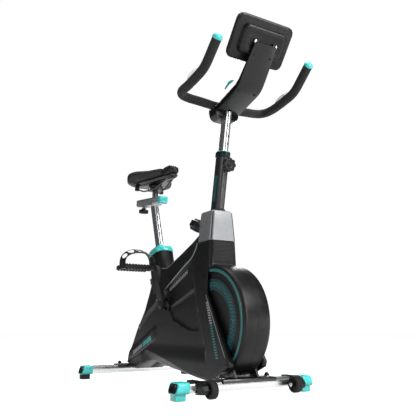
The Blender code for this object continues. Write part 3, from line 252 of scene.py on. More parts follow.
BLACK = (0.0052, 0.0052, 0.0056)
TEAL = (0.055, 0.64, 0.61)
SHELL = plastic("shell_plastic", BLACK, 0.36, specular=0.22)
SHELL_GLOSS = plastic("shell_gloss", (0.004, 0.004, 0.0044), 0.22, depth=0.00002, specular=0.28)
# light grey for beads laid along edges that catch the light: a painted highlight on the black plastic
PAINTED_HIGHLIGHT = plastic("shell_painted_highlight", (0.34, 0.346, 0.352), 0.34)
# a dimmer grey for the bead on the front leg's ridge: a weaker painted highlight
PAINTED_HIGHLIGHT_DIM = plastic("shell_painted_highlight_dim", (0.04, 0.041, 0.044), 0.36)
KNOB = plastic("knob_plastic", (0.0046, 0.0046, 0.005), 0.38, specular=0.22)
COWL = plastic("cowl_silver", (0.33, 0.338, 0.348), 0.32, depth=0.00003)
# a darker copy of the cowl's silver for its side faces: painted shade where the sides turn away from the
# light
COWL_SHADED_SIDE = plastic("cowl_side_painted_shade", (0.21, 0.214, 0.22), 0.3, depth=0.00003)
TEAL_GLOSS = plastic("teal_plastic", TEAL, 0.26, depth=0.00002, coat=0.3)
TEAL_PRINT = plastic("teal_print", (0.014, 0.17, 0.175), 0.34, depth=0.00002)
WHITE_PRINT = plastic("white_print", (0.36, 0.37, 0.38), 0.4, depth=0.00002)
PAINT = paint("black_powder_coat", (0.0055, 0.0055, 0.006), 0.34)
CHROME = metal("chrome_tube", (0.6, 0.61, 0.62), 0.24, (1.0, 1.0, 1.0), 0.0, 0.1)
SATIN = metal("satin_tube", (0.42, 0.43, 0.44), 0.42, (0.05, 1.0, 1.0), 0.00001)
STEEL = metal("machined_steel", (0.52, 0.52, 0.53), 0.3, (1.0, 0.08, 1.0))
IRON = metal("cast_iron", (0.17, 0.17, 0.18), 0.5, (1.0, 1.0, 1.0), 0.0001)
FOAM = foam_material()
LEATHER = leather_material()
RUBBER = rubber_material()
GLASS = glass_material()
BRIGHT = metal("bright_bolt", (0.8, 0.8, 0.8), 0.22, (1.0, 1.0, 1.0))
STEEL_DARK = metal("dark_wire", (0.06, 0.06, 0.063), 0.28, (1.0, 0.1, 1.0))
DOT_TEAL = plastic("dot_teal", (0.02, 0.23, 0.255), 0.36, depth=0.00001)
DOT_PALE = plastic("dot_pale", (0.11, 0.4, 0.43), 0.36, depth=0.00001)


# ---- mesh helpers ------------------------------------------------------------------
def finish_piece(name, bm, mat, body, smooth=35.0):
    """Turn a bmesh into a named piece that rides on a body."""
    bmesh.ops.recalc_face_normals(bm, faces=bm.faces)
    mesh = bpy.data.meshes.new(name)
    bm.to_mesh(mesh)
    bm.free()
    mesh.shade_smooth()
    mesh.set_sharp_from_angle(angle=math.radians(smooth))
    mesh.materials.append(mat)
    made = bpy.data.objects.new(name, mesh)
    bpy.context.collection.objects.link(made)
    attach(made, body)
    return made


def skin(bm, rings, loop=False, caps=True):
    """Add faces between rings of equal count; a loop closes on its first ring."""
    rows = [[bm.verts.new(p) for p in points] for points in rings]
    pairs = list(zip(rows, rows[1:]))
    if loop:
        pairs.append((rows[-1], rows[0]))
    for first, second in pairs:
        count = len(first)
        for i in range(count):
            j = (i + 1) % count
            bm.faces.new((first[i], first[j], second[j], second[i]))
    if caps and not loop:
        bm.faces.new(rows[0])
        bm.faces.new(rows[-1])
    return rows


def loft(name, rings, mat, body, loop=False, smooth=35.0):
    bm = bmesh.new()
    skin(bm, rings, loop)
    return finish_piece(name, bm, mat, body, smooth)


def across(direction):
    """Two unit vectors across a direction; the first lies in the XZ plane where it can."""
    along = Vector(direction).normalized()
    if abs(along.dot(Y_AXIS)) > 0.9:
        return Vector((1.0, 0.0, 0.0)), Vector((0.0, 0.0, 1.0))
    return Y_AXIS.cross(along).normalized(), Y_AXIS.copy()


def ring(centre, direction, outline):
    u_axis, v_axis = across(direction)
    return [Vector(centre) + u_axis * u + v_axis * v for u, v in outline]


def circle(radius, count=32, phase=0.0):
    return [(radius * math.cos(phase + 2.0 * math.pi * i / count),
        radius * math.sin(phase + 2.0 * math.pi * i / count)) for i in range(count)]


def squared_off(value, power):
    """Cosine or sine pushed out towards a square's corner by a power over 2."""
    return math.copysign(abs(value) ** (2.0 / power), value)


def oval(a, b, count=48, power=TUBE_BEND):
    points = []
    for i in range(count):
        angle = 2.0 * math.pi * (i + 0.5) / count
        points.append((a * squared_off(math.cos(angle), power), b * squared_off(math.sin(angle), power)))
    return points


def rounded(half_u, half_v, radius, steps=6):
    points = []
    for su, sv, start in ((1, 1, 0.0), (-1, 1, 90.0), (-1, -1, 180.0), (1, -1, 270.0)):
        for i in range(steps + 1):
            angle = math.radians(start + 90.0 * i / steps)
            points.append((su * (half_u - radius) + radius * math.cos(angle),
                sv * (half_v - radius) + radius * math.sin(angle)))
    return points


def corner_arc(here, backward, onward, reach, steps):
    """Curve that rounds off a corner between two unit directions."""
    arc = []
    for k in range(steps + 1):
        t = k / steps
        arc.append(here + backward * reach * (1.0 - t) ** 2 + onward * reach * t ** 2)
    return arc


def lobed(radius, depth, lobes, count=96, power=1.0):
    """Outline of a star knob; a power under 1 makes the flutes narrow and the lobes full."""
    points = []
    for i in range(count):
        angle = 2.0 * math.pi * i / count
        dip = (0.5 * (1.0 - math.cos(lobes * angle))) ** (1.0 / power)
        r = radius - depth * dip
        points.append((r * math.cos(angle), r * math.sin(angle)))
    return points


def turned_rings(profile, centre, direction, count=48):
    """Rings of a turned shape from (radius, distance along the axis) points."""
    along = Vector(direction).normalized()
    return [ring(Vector(centre) + along * distance, along, circle(radius, count))
        for radius, distance in profile]


def turned(name, profile, centre, direction, mat, body, count=48, loop=False, smooth=35.0):
    return loft(name, turned_rings(profile, centre, direction, count), mat, body, loop, smooth)


def several(name, shapes, mat, body, smooth=35.0):
    """One piece from several closed shapes, each given as rings."""
    bm = bmesh.new()
    for rings in shapes:
        skin(bm, rings)
    return finish_piece(name, bm, mat, body, smooth)


def sweep(path, outline_at, closed=False):
    """Rings along a path that keep their roll steady. outline_at(i) gives (u, v) points."""
    rings = []
    normal = None
    count = len(path)
    for i, point in enumerate(path):
        before = path[i - 1] if (i > 0 or closed) else path[i]
        after = path[(i + 1) % count] if (i < count - 1 or closed) else path[i]
        along = (after - before).normalized()
        if normal is None:
            normal = across(along)[0]
        normal = (normal - along * normal.dot(along)).normalized()
        binormal = along.cross(normal)
        rings.append([point + normal * u + binormal * v for u, v in outline_at(i)])
    return rings


def smooth_path(points, steps=8):
    """Catmull-Rom curve through the points."""
    points = [Vector(p) for p in points]
    padded = [2.0 * points[0] - points[1], *points, 2.0 * points[-1] - points[-2]]
    path = []
    for a, b, c, d in zip(padded, padded[1:], padded[2:], padded[3:]):
        for i in range(steps):
            t = i / steps
            path.append(0.5 * (2.0 * b + (c - a) * t + (2.0 * a - 5.0 * b + 4.0 * c - d) * t * t
                + (3.0 * b - a - 3.0 * c + d) * t * t * t))
    path.append(points[-1])
    return path


def bevel(made, width, segments=3, angle=30.0):
    modifier = made.modifiers.new("bevel", "BEVEL")
    modifier.width = width
    modifier.segments = segments
    modifier.limit_method = "ANGLE"
    modifier.angle_limit = math.radians(angle)
    return made


def thicken(made, thickness, offset=-1.0):
    modifier = made.modifiers.new("wall", "SOLIDIFY")
    modifier.thickness = thickness
    modifier.offset = offset


def subdivide(made):
    modifier = made.modifiers.new("round", "SUBSURF")
    modifier.levels = 1
    modifier.render_levels = 1


def dress(node, mat, smooth=35.0, width=0.0):
    """Give a CAD node its finish, with softened edges where a width is given."""
    made = NODES[node]
    made.data.materials.clear()
    made.data.materials.append(mat)
    for polygon in made.data.polygons:
        polygon.material_index = 0
    made.data.shade_smooth()
    made.data.set_sharp_from_angle(angle=math.radians(smooth))
    if width:
        bevel(made, width)
    return made


# ---- side covers ---------------------------------------------------------------------
# Outline of a body half, as x, z and the corner's radius, clockwise from the rear foot.
COVER_OUTLINE = ((-0.452, 0.06, 0.004), (-0.436, 0.1, 0.06), (-0.408, 0.154, 0.12), (-0.353, 0.237, 0.12),
    (-0.323, 0.277, 0.04), (-0.293, 0.358, 0.12), (-0.285, 0.42, 0.12), (-0.285, 0.474, 0.004),
    (-0.235, 0.456, 0.12), (-0.185, 0.442, 0.06), (-0.135, 0.443, 0.06), (-0.082, 0.462, 0.08),
    (0.115, 0.536, 0.003), (0.126, 0.5025, 0.001), (0.204, 0.5025, 0.001), (0.204, 0.324, 0.03),
    (0.35, 0.105, 0.01), (0.35, 0.087, 0.01), (0.232, 0.037, 0.03), (0.089, 0.049, 0.12),
    (-0.141, 0.068, 0.12), (-0.228, 0.078, 0.06), (-0.274, 0.075, 0.03), (-0.355, 0.042, 0.006),
    (-0.431, 0.042, 0.003), (-0.431, 0.06, 0.002))
SEAM_EDGES = ((0.126, 0.5025), (0.204, 0.5025), (0.204, 0.324), (0.35, 0.105))
UPPER_RIDGE = ((0.131, 0.534), (0.122, 0.502), (0.105, 0.475), (0.08, 0.453), (0.039, 0.435),
    (-0.006, 0.413), (-0.069, 0.38), (-0.134, 0.346), (-0.194, 0.314), (-0.221, 0.299), (-0.284, 0.268),
    (-0.35, 0.22))
LEG_RIDGE = ((0.118, 0.5), (0.106, 0.455), (0.098, 0.42), (0.098, 0.39), (0.108, 0.362), (0.122, 0.329),
    (0.136, 0.284), (0.157, 0.233), (0.177, 0.19), (0.196, 0.151), (0.21, 0.11))
LOWER_RIDGE = ((0.21, 0.033), (0.156, 0.043), (0.054, 0.064), (-0.06, 0.087), (-0.142, 0.101),
    (-0.212, 0.113), (-0.3, 0.12))
REAR_RIDGE = ((-0.41, 0.073), (-0.377, 0.0863), (-0.3, 0.12), (-0.21, 0.1586), (-0.185, 0.168))
POCKET = ((-0.0926, 0.2795), (0.1044, 0.3439), (0.1471, 0.1961), (0.0781, 0.1956), (-0.0506, 0.2345))
RIDGE_WIDTH = 0.008               # width of the chamfer along a ridge
UPPER_DROP = 0.0085               # how far the rear panel lies behind the main one
PANEL_DROP = 0.006               # how far the main panel lies behind the front leg
POCKET_DROP = 0.0055
COVER_WALL = 0.0024
HALF_SEAM = 0.001                # from the bike's middle plane to a cover's edge
BESIDE_HEAD_TUBE = 0.0216         # where the covers stop to let the head tube through
GRID = 0.007                     # spacing of the surface's free points


def cover_base(x, z):
    """Half width of the body before its ridges; it widens forwards and downwards."""
    return 0.06 + 0.0175 * x - 0.045 * (z - 0.3)


def filleted(corners, arc_step=math.radians(12.0)):
    """Outline with each corner (x, z, radius) rounded by an arc."""
    points = []
    count = len(corners)
    for i, (x, z, radius) in enumerate(corners):
        here = Vector((x, z))
        before = Vector(corners[i - 1][:2]) - here
        after = Vector(corners[(i + 1) % count][:2]) - here
        u = before.normalized()
        v = after.normalized()
        half = 0.5 * math.acos(max(-1.0, min(1.0, u.dot(v))))
        reach = min(radius / math.tan(half), 0.45 * before.length, 0.45 * after.length)
        turn = math.pi - 2.0 * half
        steps = max(1, math.ceil(turn / arc_step))
        points += corner_arc(here, u, v, reach, steps)
    return points


COVER_EDGE = [tuple(p) for p in filleted(COVER_OUTLINE)]


def nearest_on_line(point, line):
    """Distance to an open line of (x, z) points, signed: positive on its left."""
    best = 1e9
    side = 1.0
    for a, b in zip(line, line[1:]):
        ax, az = a
        dx = b[0] - ax
        dz = b[1] - az
        t = ((point[0] - ax) * dx + (point[1] - az) * dz) / (dx * dx + dz * dz)
        t = min(1.0, max(0.0, t))
        ox = point[0] - ax - dx * t
        oz = point[1] - az - dz * t
        distance = math.hypot(ox, oz)
        if distance < best - 1e-9:
            best = distance
            side = 1.0 if dx * oz - dz * ox >= 0.0 else -1.0
    return best * side


def fade(value, start, end):
    """Smooth step from 0 at start to 1 at end."""
    t = min(1.0, max(0.0, (value - start) / (end - start)))
    return t * t * (3.0 - 2.0 * t)


def inside(point, polygon):
    x, z = point
    hit = False
    for (x0, z0), (x1, z1) in zip(polygon, [*polygon[1:], polygon[0]]):
        if (z0 > z) != (z1 > z) and x < x0 + (z - z0) * (x1 - x0) / (z1 - z0):
            hit = not hit
    return hit


def cover_height(point, outline=COVER_EDGE):
    """Half width of the finished cover at (x, z)."""
    x, z = point
    y = cover_base(x, z)
    upper = nearest_on_line(point, UPPER_RIDGE)
    half = RIDGE_WIDTH / 2.0
    y -= UPPER_DROP * (1.0 - fade(upper, -half, half)) + 0.1 * max(0.0, -upper - half)
    leg = nearest_on_line(point, LEG_RIDGE)
    depth = PANEL_DROP * fade(z, 0.5, 0.35) * fade(z, 0.09, 0.15)
    y -= depth * (1.0 - fade(leg, -half, half)) * fade(upper, 0.0, 0.02)
    edge = abs(nearest_on_line(point, [*POCKET, POCKET[0]]))
    if inside(point, POCKET):
        y -= POCKET_DROP * fade(edge, 0.0, 0.007)
    lower = nearest_on_line(point, LOWER_RIDGE)
    y -= 0.6 * max(0.0, lower) * fade(x, -0.3, -0.23)
    rear = nearest_on_line(point, REAR_RIDGE)
    strip = fade(rear, -0.004, 0.003) * fade(rear, 0.046, 0.038) * fade(x, -0.175, -0.215)
    y += 0.0035 * strip * fade(x, -0.445, -0.425)
    rim = abs(nearest_on_line(point, [*outline, outline[0]]))
    seam = abs(nearest_on_line(point, SEAM_EDGES))
    radius = 0.0015 if seam < 0.004 else 0.0075
    if rim < radius:
        y -= radius - math.sqrt(radius * radius - (radius - rim) ** 2)
    return y


def offset_polygon(points, distance):
    """Polygon moved inwards, for the start of its rounded edge."""
    moved = []
    count = len(points)
    for i, point in enumerate(points):
        along = (Vector(points[(i + 1) % count]) - Vector(points[i - 1])).normalized()
        moved.append(Vector(point) + Vector((along.y, -along.x)) * distance)
    return moved


def offset_line(line, distance):
    moved = []
    for i, point in enumerate(line):
        along = (Vector(line[min(i + 1, len(line) - 1)]) - Vector(line[max(i - 1, 0)])).normalized()
        moved.append(Vector(point) + Vector((-along.y, along.x)) * distance)
    return moved


def subdivided(line, step):
    points = []
    for a, b in zip(line, line[1:]):
        a = Vector(a)
        b = Vector(b)
        count = max(1, round((b - a).length / step))
        points.extend(a.lerp(b, i / count) for i in range(count))
    points.append(Vector(line[-1]))
    return points


def curved(line, step):
    """Smooth curve through (x, z) points."""
    path = smooth_path([(x, z, 0.0) for x, z in line], 6)
    return subdivided([Vector((p.x, p.y)) for p in path], step)


def cover_surface():
    """Flat triangulation of the outline with its ridges as edges: (points, triangles, rim)."""
    outline = subdivided([*filleted(COVER_OUTLINE), filleted(COVER_OUTLINE)[0]], 0.012)[:-1]
    plain = [tuple(p) for p in outline]
    points = list(outline)
    edges = [(i, (i + 1) % len(outline)) for i in range(len(outline))]

    def add_line(line, closed=False):
        kept = [p for p in line if inside(p, plain) and abs(nearest_on_line(p,
            [*plain, plain[0]])) > 0.0011]
        start = len(points)
        points.extend(kept)
        for i in range(len(kept) - 1):
            if (kept[i + 1] - kept[i]).length < 0.02:
                edges.append((start + i, start + i + 1))
        if closed and len(kept) > 2 and (kept[-1] - kept[0]).length < 0.02:
            edges.append((start + len(kept) - 1, start))

    for inset in (0.0015, 0.004, 0.0075):
        add_line(offset_polygon(outline, inset), True)
    half = RIDGE_WIDTH / 2.0
    for line in (UPPER_RIDGE, LEG_RIDGE):
        for shift in (-half, 0.0, half):
            add_line(offset_line(curved(line, 0.008), shift))
    add_line(curved(LOWER_RIDGE, 0.008))
    for shift in (-0.004, 0.003):
        add_line(offset_line(curved(REAR_RIDGE, 0.008), shift))
    loop = subdivided([*POCKET, POCKET[0]], 0.008)
    add_line(loop)
    taken = [p.copy() for p in points]
    x_low = min(p.x for p in outline)
    z_low = min(p.y for p in outline)
    for i in range(int(0.81 / GRID)):
        for k in range(int(0.5 / GRID)):
            spot = Vector((x_low + GRID * (i + 0.5 * (k % 2)), z_low + GRID * 0.87 * k))
            if not inside(spot, plain):
                continue
            if min((spot - p).length_squared for p in taken) > (0.45 * GRID) ** 2:
                points.append(spot)
    found = delaunay_2d_cdt(points, edges, [list(range(len(outline)))], 1, 1e-6)
    return found[0], found[2], plain


def side_covers():
    points, triangles, outline = cover_surface()
    heights = [cover_height(tuple(p), outline) for p in points]
    for label, side in SIDES:
        bm = bmesh.new()
        face = [bm.verts.new((p.x, side * y, p.y)) for p, y in zip(points, heights)]
        for corners in triangles:
            bm.faces.new([face[i] for i in corners])
        bm.edges.ensure_lookup_table()
        border = [e for e in bm.edges if len(e.link_faces) == 1]
        made = bmesh.ops.extrude_edge_only(bm, edges=border)
        for item in made["geom"]:
            if isinstance(item, bmesh.types.BMVert):
                reach = math.hypot(item.co.x - HUB.x, item.co.z - HUB.z)
                open_front = reach < SHROUD_R + 0.004 or (item.co.x > 0.27 and item.co.z < 0.12)
                beside_post = 0.1 < item.co.x < 0.206 and 0.47 < item.co.z < 0.545
                inner = (SHROUD_HALF + 0.003 if open_front else BESIDE_HEAD_TUBE if beside_post
                    else HALF_SEAM)
                item.co.y = side * inner
        piece = finish_piece(f"body_cover_{label}", bm, SHELL, "frame", 28.0)
        thicken(piece, COVER_WALL)
        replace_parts(piece, f"side_cover_{label}")


def cover_patch(bm, corners, side):
    """Thin raised shape on a side cover."""
    skin(bm, [[Vector((x, side * (cover_height((x, z)) + lift), z)) for x, z in corners]
        for lift in (-PRINT_DEPTH, PRINT_LIFT)])


def slanted_bars(line, count, fill, across_size, lean):
    """Corners of short slanted bars along a line of two (x, z) points."""
    start = Vector(line[0])
    run = Vector(line[1]) - start
    along = run.normalized()
    over = Vector((-along.y, along.x))
    step = run.length / count
    bars = []
    for i in range(count):
        base = start + along * step * (i + 0.5 * (1.0 - fill))
        size = step * fill
        half = across_size / 2.0
        bars.append([base - over * half, base + along * size - over * half,
            base + along * (size + lean) + over * half, base + along * lean + over * half])
    return [[(p.x, p.y) for p in bar] for bar in bars]


PRINT_LIFT = 0.00035              # how far a print stands out of the cover
PRINT_DEPTH = 0.0008              # and how far it goes in


def cover_prints():
    """Generic bars where such a bike carries its markings."""
    leg = slanted_bars(((0.206, 0.295), (0.283, 0.111)), 22, 0.62, 0.015, 0.004)
    upper = slanted_bars(((-0.09, 0.3465), (0.052, 0.406)), 12, 0.6, 0.012, 0.005)
    strip_low = Vector((-0.381, 0.103))
    strip_high = Vector((-0.22, 0.17))
    for label, side in SIDES:
        groups = (("leg_marks_white", leg[:9], WHITE_PRINT), ("leg_marks_teal", leg[9:], TEAL_PRINT),
            ("upper_marks", upper, WHITE_PRINT))
        for name, bars, mat in groups:
            bm = bmesh.new()
            for bar in bars:
                cover_patch(bm, bar, side)
            finish_piece(f"{name}_{label}", bm, mat, "frame")
        along = (strip_high - strip_low).normalized()
        over = Vector((-along.y, along.x))
        for name, first, last, mat in (("rear_mark_white", 0.0, 0.5, WHITE_PRINT),
                ("rear_mark_teal", 0.53, 0.97, TEAL_GLOSS)):
            bm = bmesh.new()
            count = 6
            for i in range(count):
                t0 = first + (last - first) * i / count
                t1 = first + (last - first) * (i + 0.8) / count
                a = strip_low.lerp(strip_high, t0)
                b = strip_low.lerp(strip_high, t1)
                corners = [a - over * 0.009, b - over * 0.009, b + over * 0.009, a + over * 0.009]
                cover_patch(bm, [(p.x, p.y) for p in corners], side)
            finish_piece(f"{name}_{label}", bm, mat, "frame")


def cover_trim():
    """Raised grey beads along the covers' ridges and edges, whose grey is a painted highlight where those
    edges would catch the light, and the screws beside them.
    """
    lines = {"ridge_highlight": (offset_line(curved(UPPER_RIDGE[1:9], 0.006), 0.0025), 0.003, 0.0014),
        "rear_ridge_highlight": (curved(((-0.385, 0.085), (-0.3, 0.119), (-0.214, 0.156)), 0.006), 0.0012,
        0.0009), "top_edge_highlight": (curved(((-0.28, 0.468), (-0.235, 0.4525), (-0.185, 0.439),
        (-0.135, 0.4395), (-0.082, 0.458), (-0.05, 0.47)), 0.006), 0.0013, 0.0009),
        "leg_highlight": (curved(LEG_RIDGE[3:10], 0.006), 0.0016, 0.0009),
        "front_edge_highlight": (curved(((0.1975, 0.315), (0.26, 0.221), (0.33, 0.116)), 0.006), 0.0013,
        0.0009)}
    for label, side in SIDES:
        for name, (line, half, rise) in lines.items():
            path = [Vector((p.x, side * (cover_height((p.x, p.y)) + 0.0002), p.y)) for p in line]
            rings = sweep(path, lambda i: oval(half, rise, 12, 2.0))
            # the beads' grey is painted highlight; the front leg's bead takes the dimmer painted highlight
            loft(f"{name}_{label}", rings, PAINTED_HIGHLIGHT_DIM if name == "leg_highlight" else PAINTED_HIGHLIGHT, "frame")
        shapes = []
        for x, z in ((0.179, 0.448), (0.333, 0.096), (-0.416, 0.056), (-0.266, 0.43)):
            y = side * (cover_height((x, z)) - 0.001)
            profile = ((0.0001, 0.0), (0.0036, 0.0), (0.004, 0.0012), (0.004, 0.0016), (0.003, 0.0024),
                (0.0016, 0.0024), (0.0015, 0.0014), (0.0001, 0.0014))
            shapes.append(turned_rings(profile, (x, y, z), (0, side, 0), 20))
        several(f"cover_screws_{label}", shapes, KNOB, "frame")


# ---- flywheel cover ------------------------------------------------------------------
def tuck(piece, side, margin=0.0052):
    """Draw the part of a flywheel cover piece that lies behind a side cover inwards."""
    for vertex in piece.data.vertices:
        x, y, z = vertex.co
        if abs(y) > 0.03 and inside((x, z), COVER_EDGE):
            room = cover_height((x, z)) - margin
            vertex.co.y = side * min(abs(y), max(0.03, room))
    return piece


def flywheel_shroud():
    half, r = SHROUD_HALF, SHROUD_R
    for label, side in SIDES:
        outer = [(r, 0.0003), (r, 0.012), (r - 0.0002, 0.024), (r - 0.001, 0.033)]
        for i in range(1, 7):
            turn = math.radians(15.0 * i)
            outer.append((r - 0.011 + 0.01 * math.cos(turn), 0.0345 + 0.0172 * math.sin(turn)))
        outer += [(r - 0.0124, half), (0.165, half), (0.164, half - 0.0008), (0.163, half - 0.0034),
            (0.146, half - 0.0036), (0.144, half - 0.002), (0.101, half - 0.002), (0.099, half - 0.0036),
            (0.04, half - 0.004), (0.03, half - 0.004)]
        inner = [(0.03, half - 0.0065), (0.162, half - 0.0065), (r - 0.0145, half - 0.003),
            (r - 0.006, 0.04), (r - 0.0028, 0.03), (r - 0.0028, 0.0003)]
        piece = turned(f"flywheel_shroud_{label}", outer + inner, HUB, (0, side, 0), SHELL, "frame", 144,
            loop=True, smooth=24.0)
        tuck(piece, side)
        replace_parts(piece, f"flywheel_cover_{label}")
        trim = [(0.1755, half - 0.0005), (0.1752, half + 0.0007), (0.1742, half + 0.0012),
            (0.1672, half + 0.0012), (0.1662, half + 0.0007), (0.1659, half - 0.0005)]
        band = turned(f"shroud_trim_ring_{label}", trim, HUB, (0, side, 0), TEAL_PRINT, "frame", 144,
            loop=True)
        tuck(band, side, 0.0048)
        dish = [(0.0001, half - 0.0075), (0.03, half - 0.0075), (0.03, half - 0.003),
            (0.028, half - 0.0016), (0.01, half - 0.0012), (0.0001, half - 0.0012)]
        turned(f"shroud_hub_disc_{label}", dish, HUB, (0, side, 0), SHELL_GLOSS, "frame", 96)
        shroud_dots(label, side)
    seam = [(r - 0.0003, -0.0012), (r + 0.0004, -0.0008), (r + 0.0004, 0.0008), (r - 0.0003, 0.0012)]
    turned("shroud_seam", seam, HUB, (0, 1, 0), KNOB, "frame", 144, loop=True)
    shapes = []
    for degrees in (-52.0, -8.0, 40.0):
        out = Vector((math.cos(math.radians(degrees)), 0.0, math.sin(math.radians(degrees))))
        for side in (-1.0, 1.0):
            centre = HUB + out * (r - 0.0018) + Y_AXIS * side * 0.019
            profile = ((0.0001, 0.0), (0.0034, 0.0), (0.0034, 0.0019), (0.0026, 0.0022), (0.0022, 0.0014),
                (0.0001, 0.0012))
            shapes.append(turned_rings(profile, centre, out, 18))
    several("shroud_screws", shapes, KNOB, "frame")


DOT_PITCH = 0.0058                # between the dots of a row
DOT_ROWS = 8
DOT_FIRST_ROW = 0.104            # radius of the innermost row
DOT_ROW_STEP = 0.005
DOTS_END, DOTS_START = 1.95, 5.0  # radians; the side cover hides what lies between


def shroud_dots(label, side):
    """Rings of raised dots round the flywheel cover's face."""
    groups = {"teal": bmesh.new(), "pale": bmesh.new()}
    face = SHROUD_HALF - 0.002
    for row in range(DOT_ROWS):
        radius = DOT_FIRST_ROW + DOT_ROW_STEP * row
        count = round(2.0 * math.pi * radius / DOT_PITCH)
        size = 0.00125 + 0.0006 * math.sin(math.pi * (row + 0.5) / DOT_ROWS)
        for i in range(count):
            angle = 2.0 * math.pi * (i + 0.5 * (row % 2)) / count
            if DOTS_END < angle < DOTS_START:
                continue
            centre = HUB + Vector((math.cos(angle), 0.0, math.sin(angle))) * radius
            bm = groups["pale" if 2 <= row <= 5 and (i + row) % 2 else "teal"]
            rings = []
            for lift, scale in ((-0.0004, 1.0), (0.0004, 1.0), (0.0007, 0.55)):
                y = side * (face + lift)
                rings.append([centre + Vector((u, y, v)) for u, v in circle(size * scale, 6)])
            skin(bm, rings)
    for tone, mat in (("teal", DOT_TEAL), ("pale", DOT_PALE)):
        finish_piece(f"shroud_dots_{tone}_{label}", groups[tone], mat, "frame", 60.0)


# ---- head column -----------------------------------------------------------------------
def column_ring(z, half, x_front, x_side, x_rear, half_rear, chamfer, edge):
    """Eight-sided column section with small rounded corners, as points at one height."""
    corners = ((x_front, -half + chamfer, edge), (x_front, half - chamfer, edge),
        (x_front - chamfer, half, edge), (x_side, half, 4.0 * edge), (x_rear, half_rear, 2.0 * edge),
        (x_rear, -half_rear, 2.0 * edge), (x_side, -half, 4.0 * edge), (x_front - chamfer, -half, edge))
    points = []
    count = len(corners)
    for i, (x, y, radius) in enumerate(corners):
        here = Vector((x, y))
        before = Vector(corners[i - 1][:2]) - here
        after = Vector(corners[(i + 1) % count][:2]) - here
        reach = min(radius, 0.4 * before.length, 0.4 * after.length)
        points += corner_arc(here, before.normalized(), after.normalized(), reach, 4)
    return [Vector((p.x, p.y, z)) for p in points]


def column_x(z):
    """Where the handlebar post's axis is at a height."""
    return HEAD_X + (z - HEAD_Z) * HEAD_AXIS.x / HEAD_AXIS.z


def head_cowl():
    stations = ((0.5031, 0.0523, 0.2132, 0.129, 0.095, 0.025, 0.01),
        (0.5044, 0.0533, 0.2142, 0.129, 0.0945, 0.0258, 0.01),
        (0.508, 0.0533, 0.2142, 0.129, 0.0935, 0.0258, 0.01), (0.57, 0.0467, 0.2125, 0.1295, 0.0975,
        0.0248, 0.009), (0.605, 0.0424, 0.2112, 0.13, 0.1065, 0.024, 0.0082),
        (0.609, 0.0412, 0.21, 0.131, 0.108, 0.0232, 0.008), (0.6113, 0.0396, 0.2082, 0.1325, 0.1098,
        0.0222, 0.008), (0.612, 0.0372, 0.2058, 0.134, 0.1122, 0.0205, 0.0075))
    rings = [column_ring(*station, 0.0022) for station in stations]
    for z, grow in ((0.6118, 0.003), (0.6105, 0.0022), (0.598, 0.0022)):
        centre_x = column_x(z)
        inner = []
        for p in rings[-1] if z > 0.6115 else rings[7]:
            angle = math.atan2(p.y, p.x - centre_x)
            c = math.cos(angle)
            s = math.sin(angle)
            reach = (abs(c / (0.0305 + grow)) ** TUBE_BEND + abs(s / (0.018
                + grow)) ** TUBE_BEND) ** (-1.0 / TUBE_BEND)
            inner.append(Vector((centre_x + reach * c, reach * s, z)))
        rings.append(inner)
    bm = bmesh.new()
    skin(bm, rings, caps=False)
    cowl = finish_piece("column_cowl", bm, COWL, "frame", 30.0)
    cowl.data.materials.append(COWL_SHADED_SIDE)
    # faces that look forwards keep the silver, all others take its darker copy: painted shade
    for polygon in cowl.data.polygons:
        polygon.material_index = 0 if polygon.normal.x > 0.9 else 1
    thicken(cowl, 0.0022)
    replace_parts(cowl, "head_cowl")
    for label, side in SIDES:
        path = []
        for z, half, front, chamfer in ((0.506, 0.0533, 0.2142, 0.01), (0.57, 0.0467, 0.2125, 0.009),
                (0.605, 0.0424, 0.2112, 0.0082)):
            path.append(Vector((front - 0.5 * chamfer + 0.0002, side * (half - 0.5 * chamfer + 0.0002),
                z)))
        loft(f"cowl_chamfer_trim_{label}", sweep(path, lambda i: oval(0.0016, 0.0016, 12, 2.0)), KNOB,
            "frame")
    top = [(0.0338, 0.0212, 0.6085), (0.0352, 0.0226, 0.6125), (0.035, 0.0224, 0.6165),
        (0.033, 0.0204, 0.6185), (0.0312, 0.019, 0.619), (0.0308, 0.0186, 0.612),
        (0.0308, 0.0186, 0.6085)]
    rings = []
    for a, b, z in top:
        centre = Vector((column_x(z), 0.0, z))
        rings.append([centre + Vector((u, v, 0.0)) for u, v in oval(a, b, 64)])
    loft("cowl_collar", rings, KNOB, "frame", loop=True)


def shroud_radius(y):
    """Radius of the flywheel cover at a distance from its middle plane."""
    y = abs(y)
    if y < 0.033:
        return SHROUD_R
    return SHROUD_R - 0.011 * min(1.0, (y - 0.033) / 0.019) ** 2


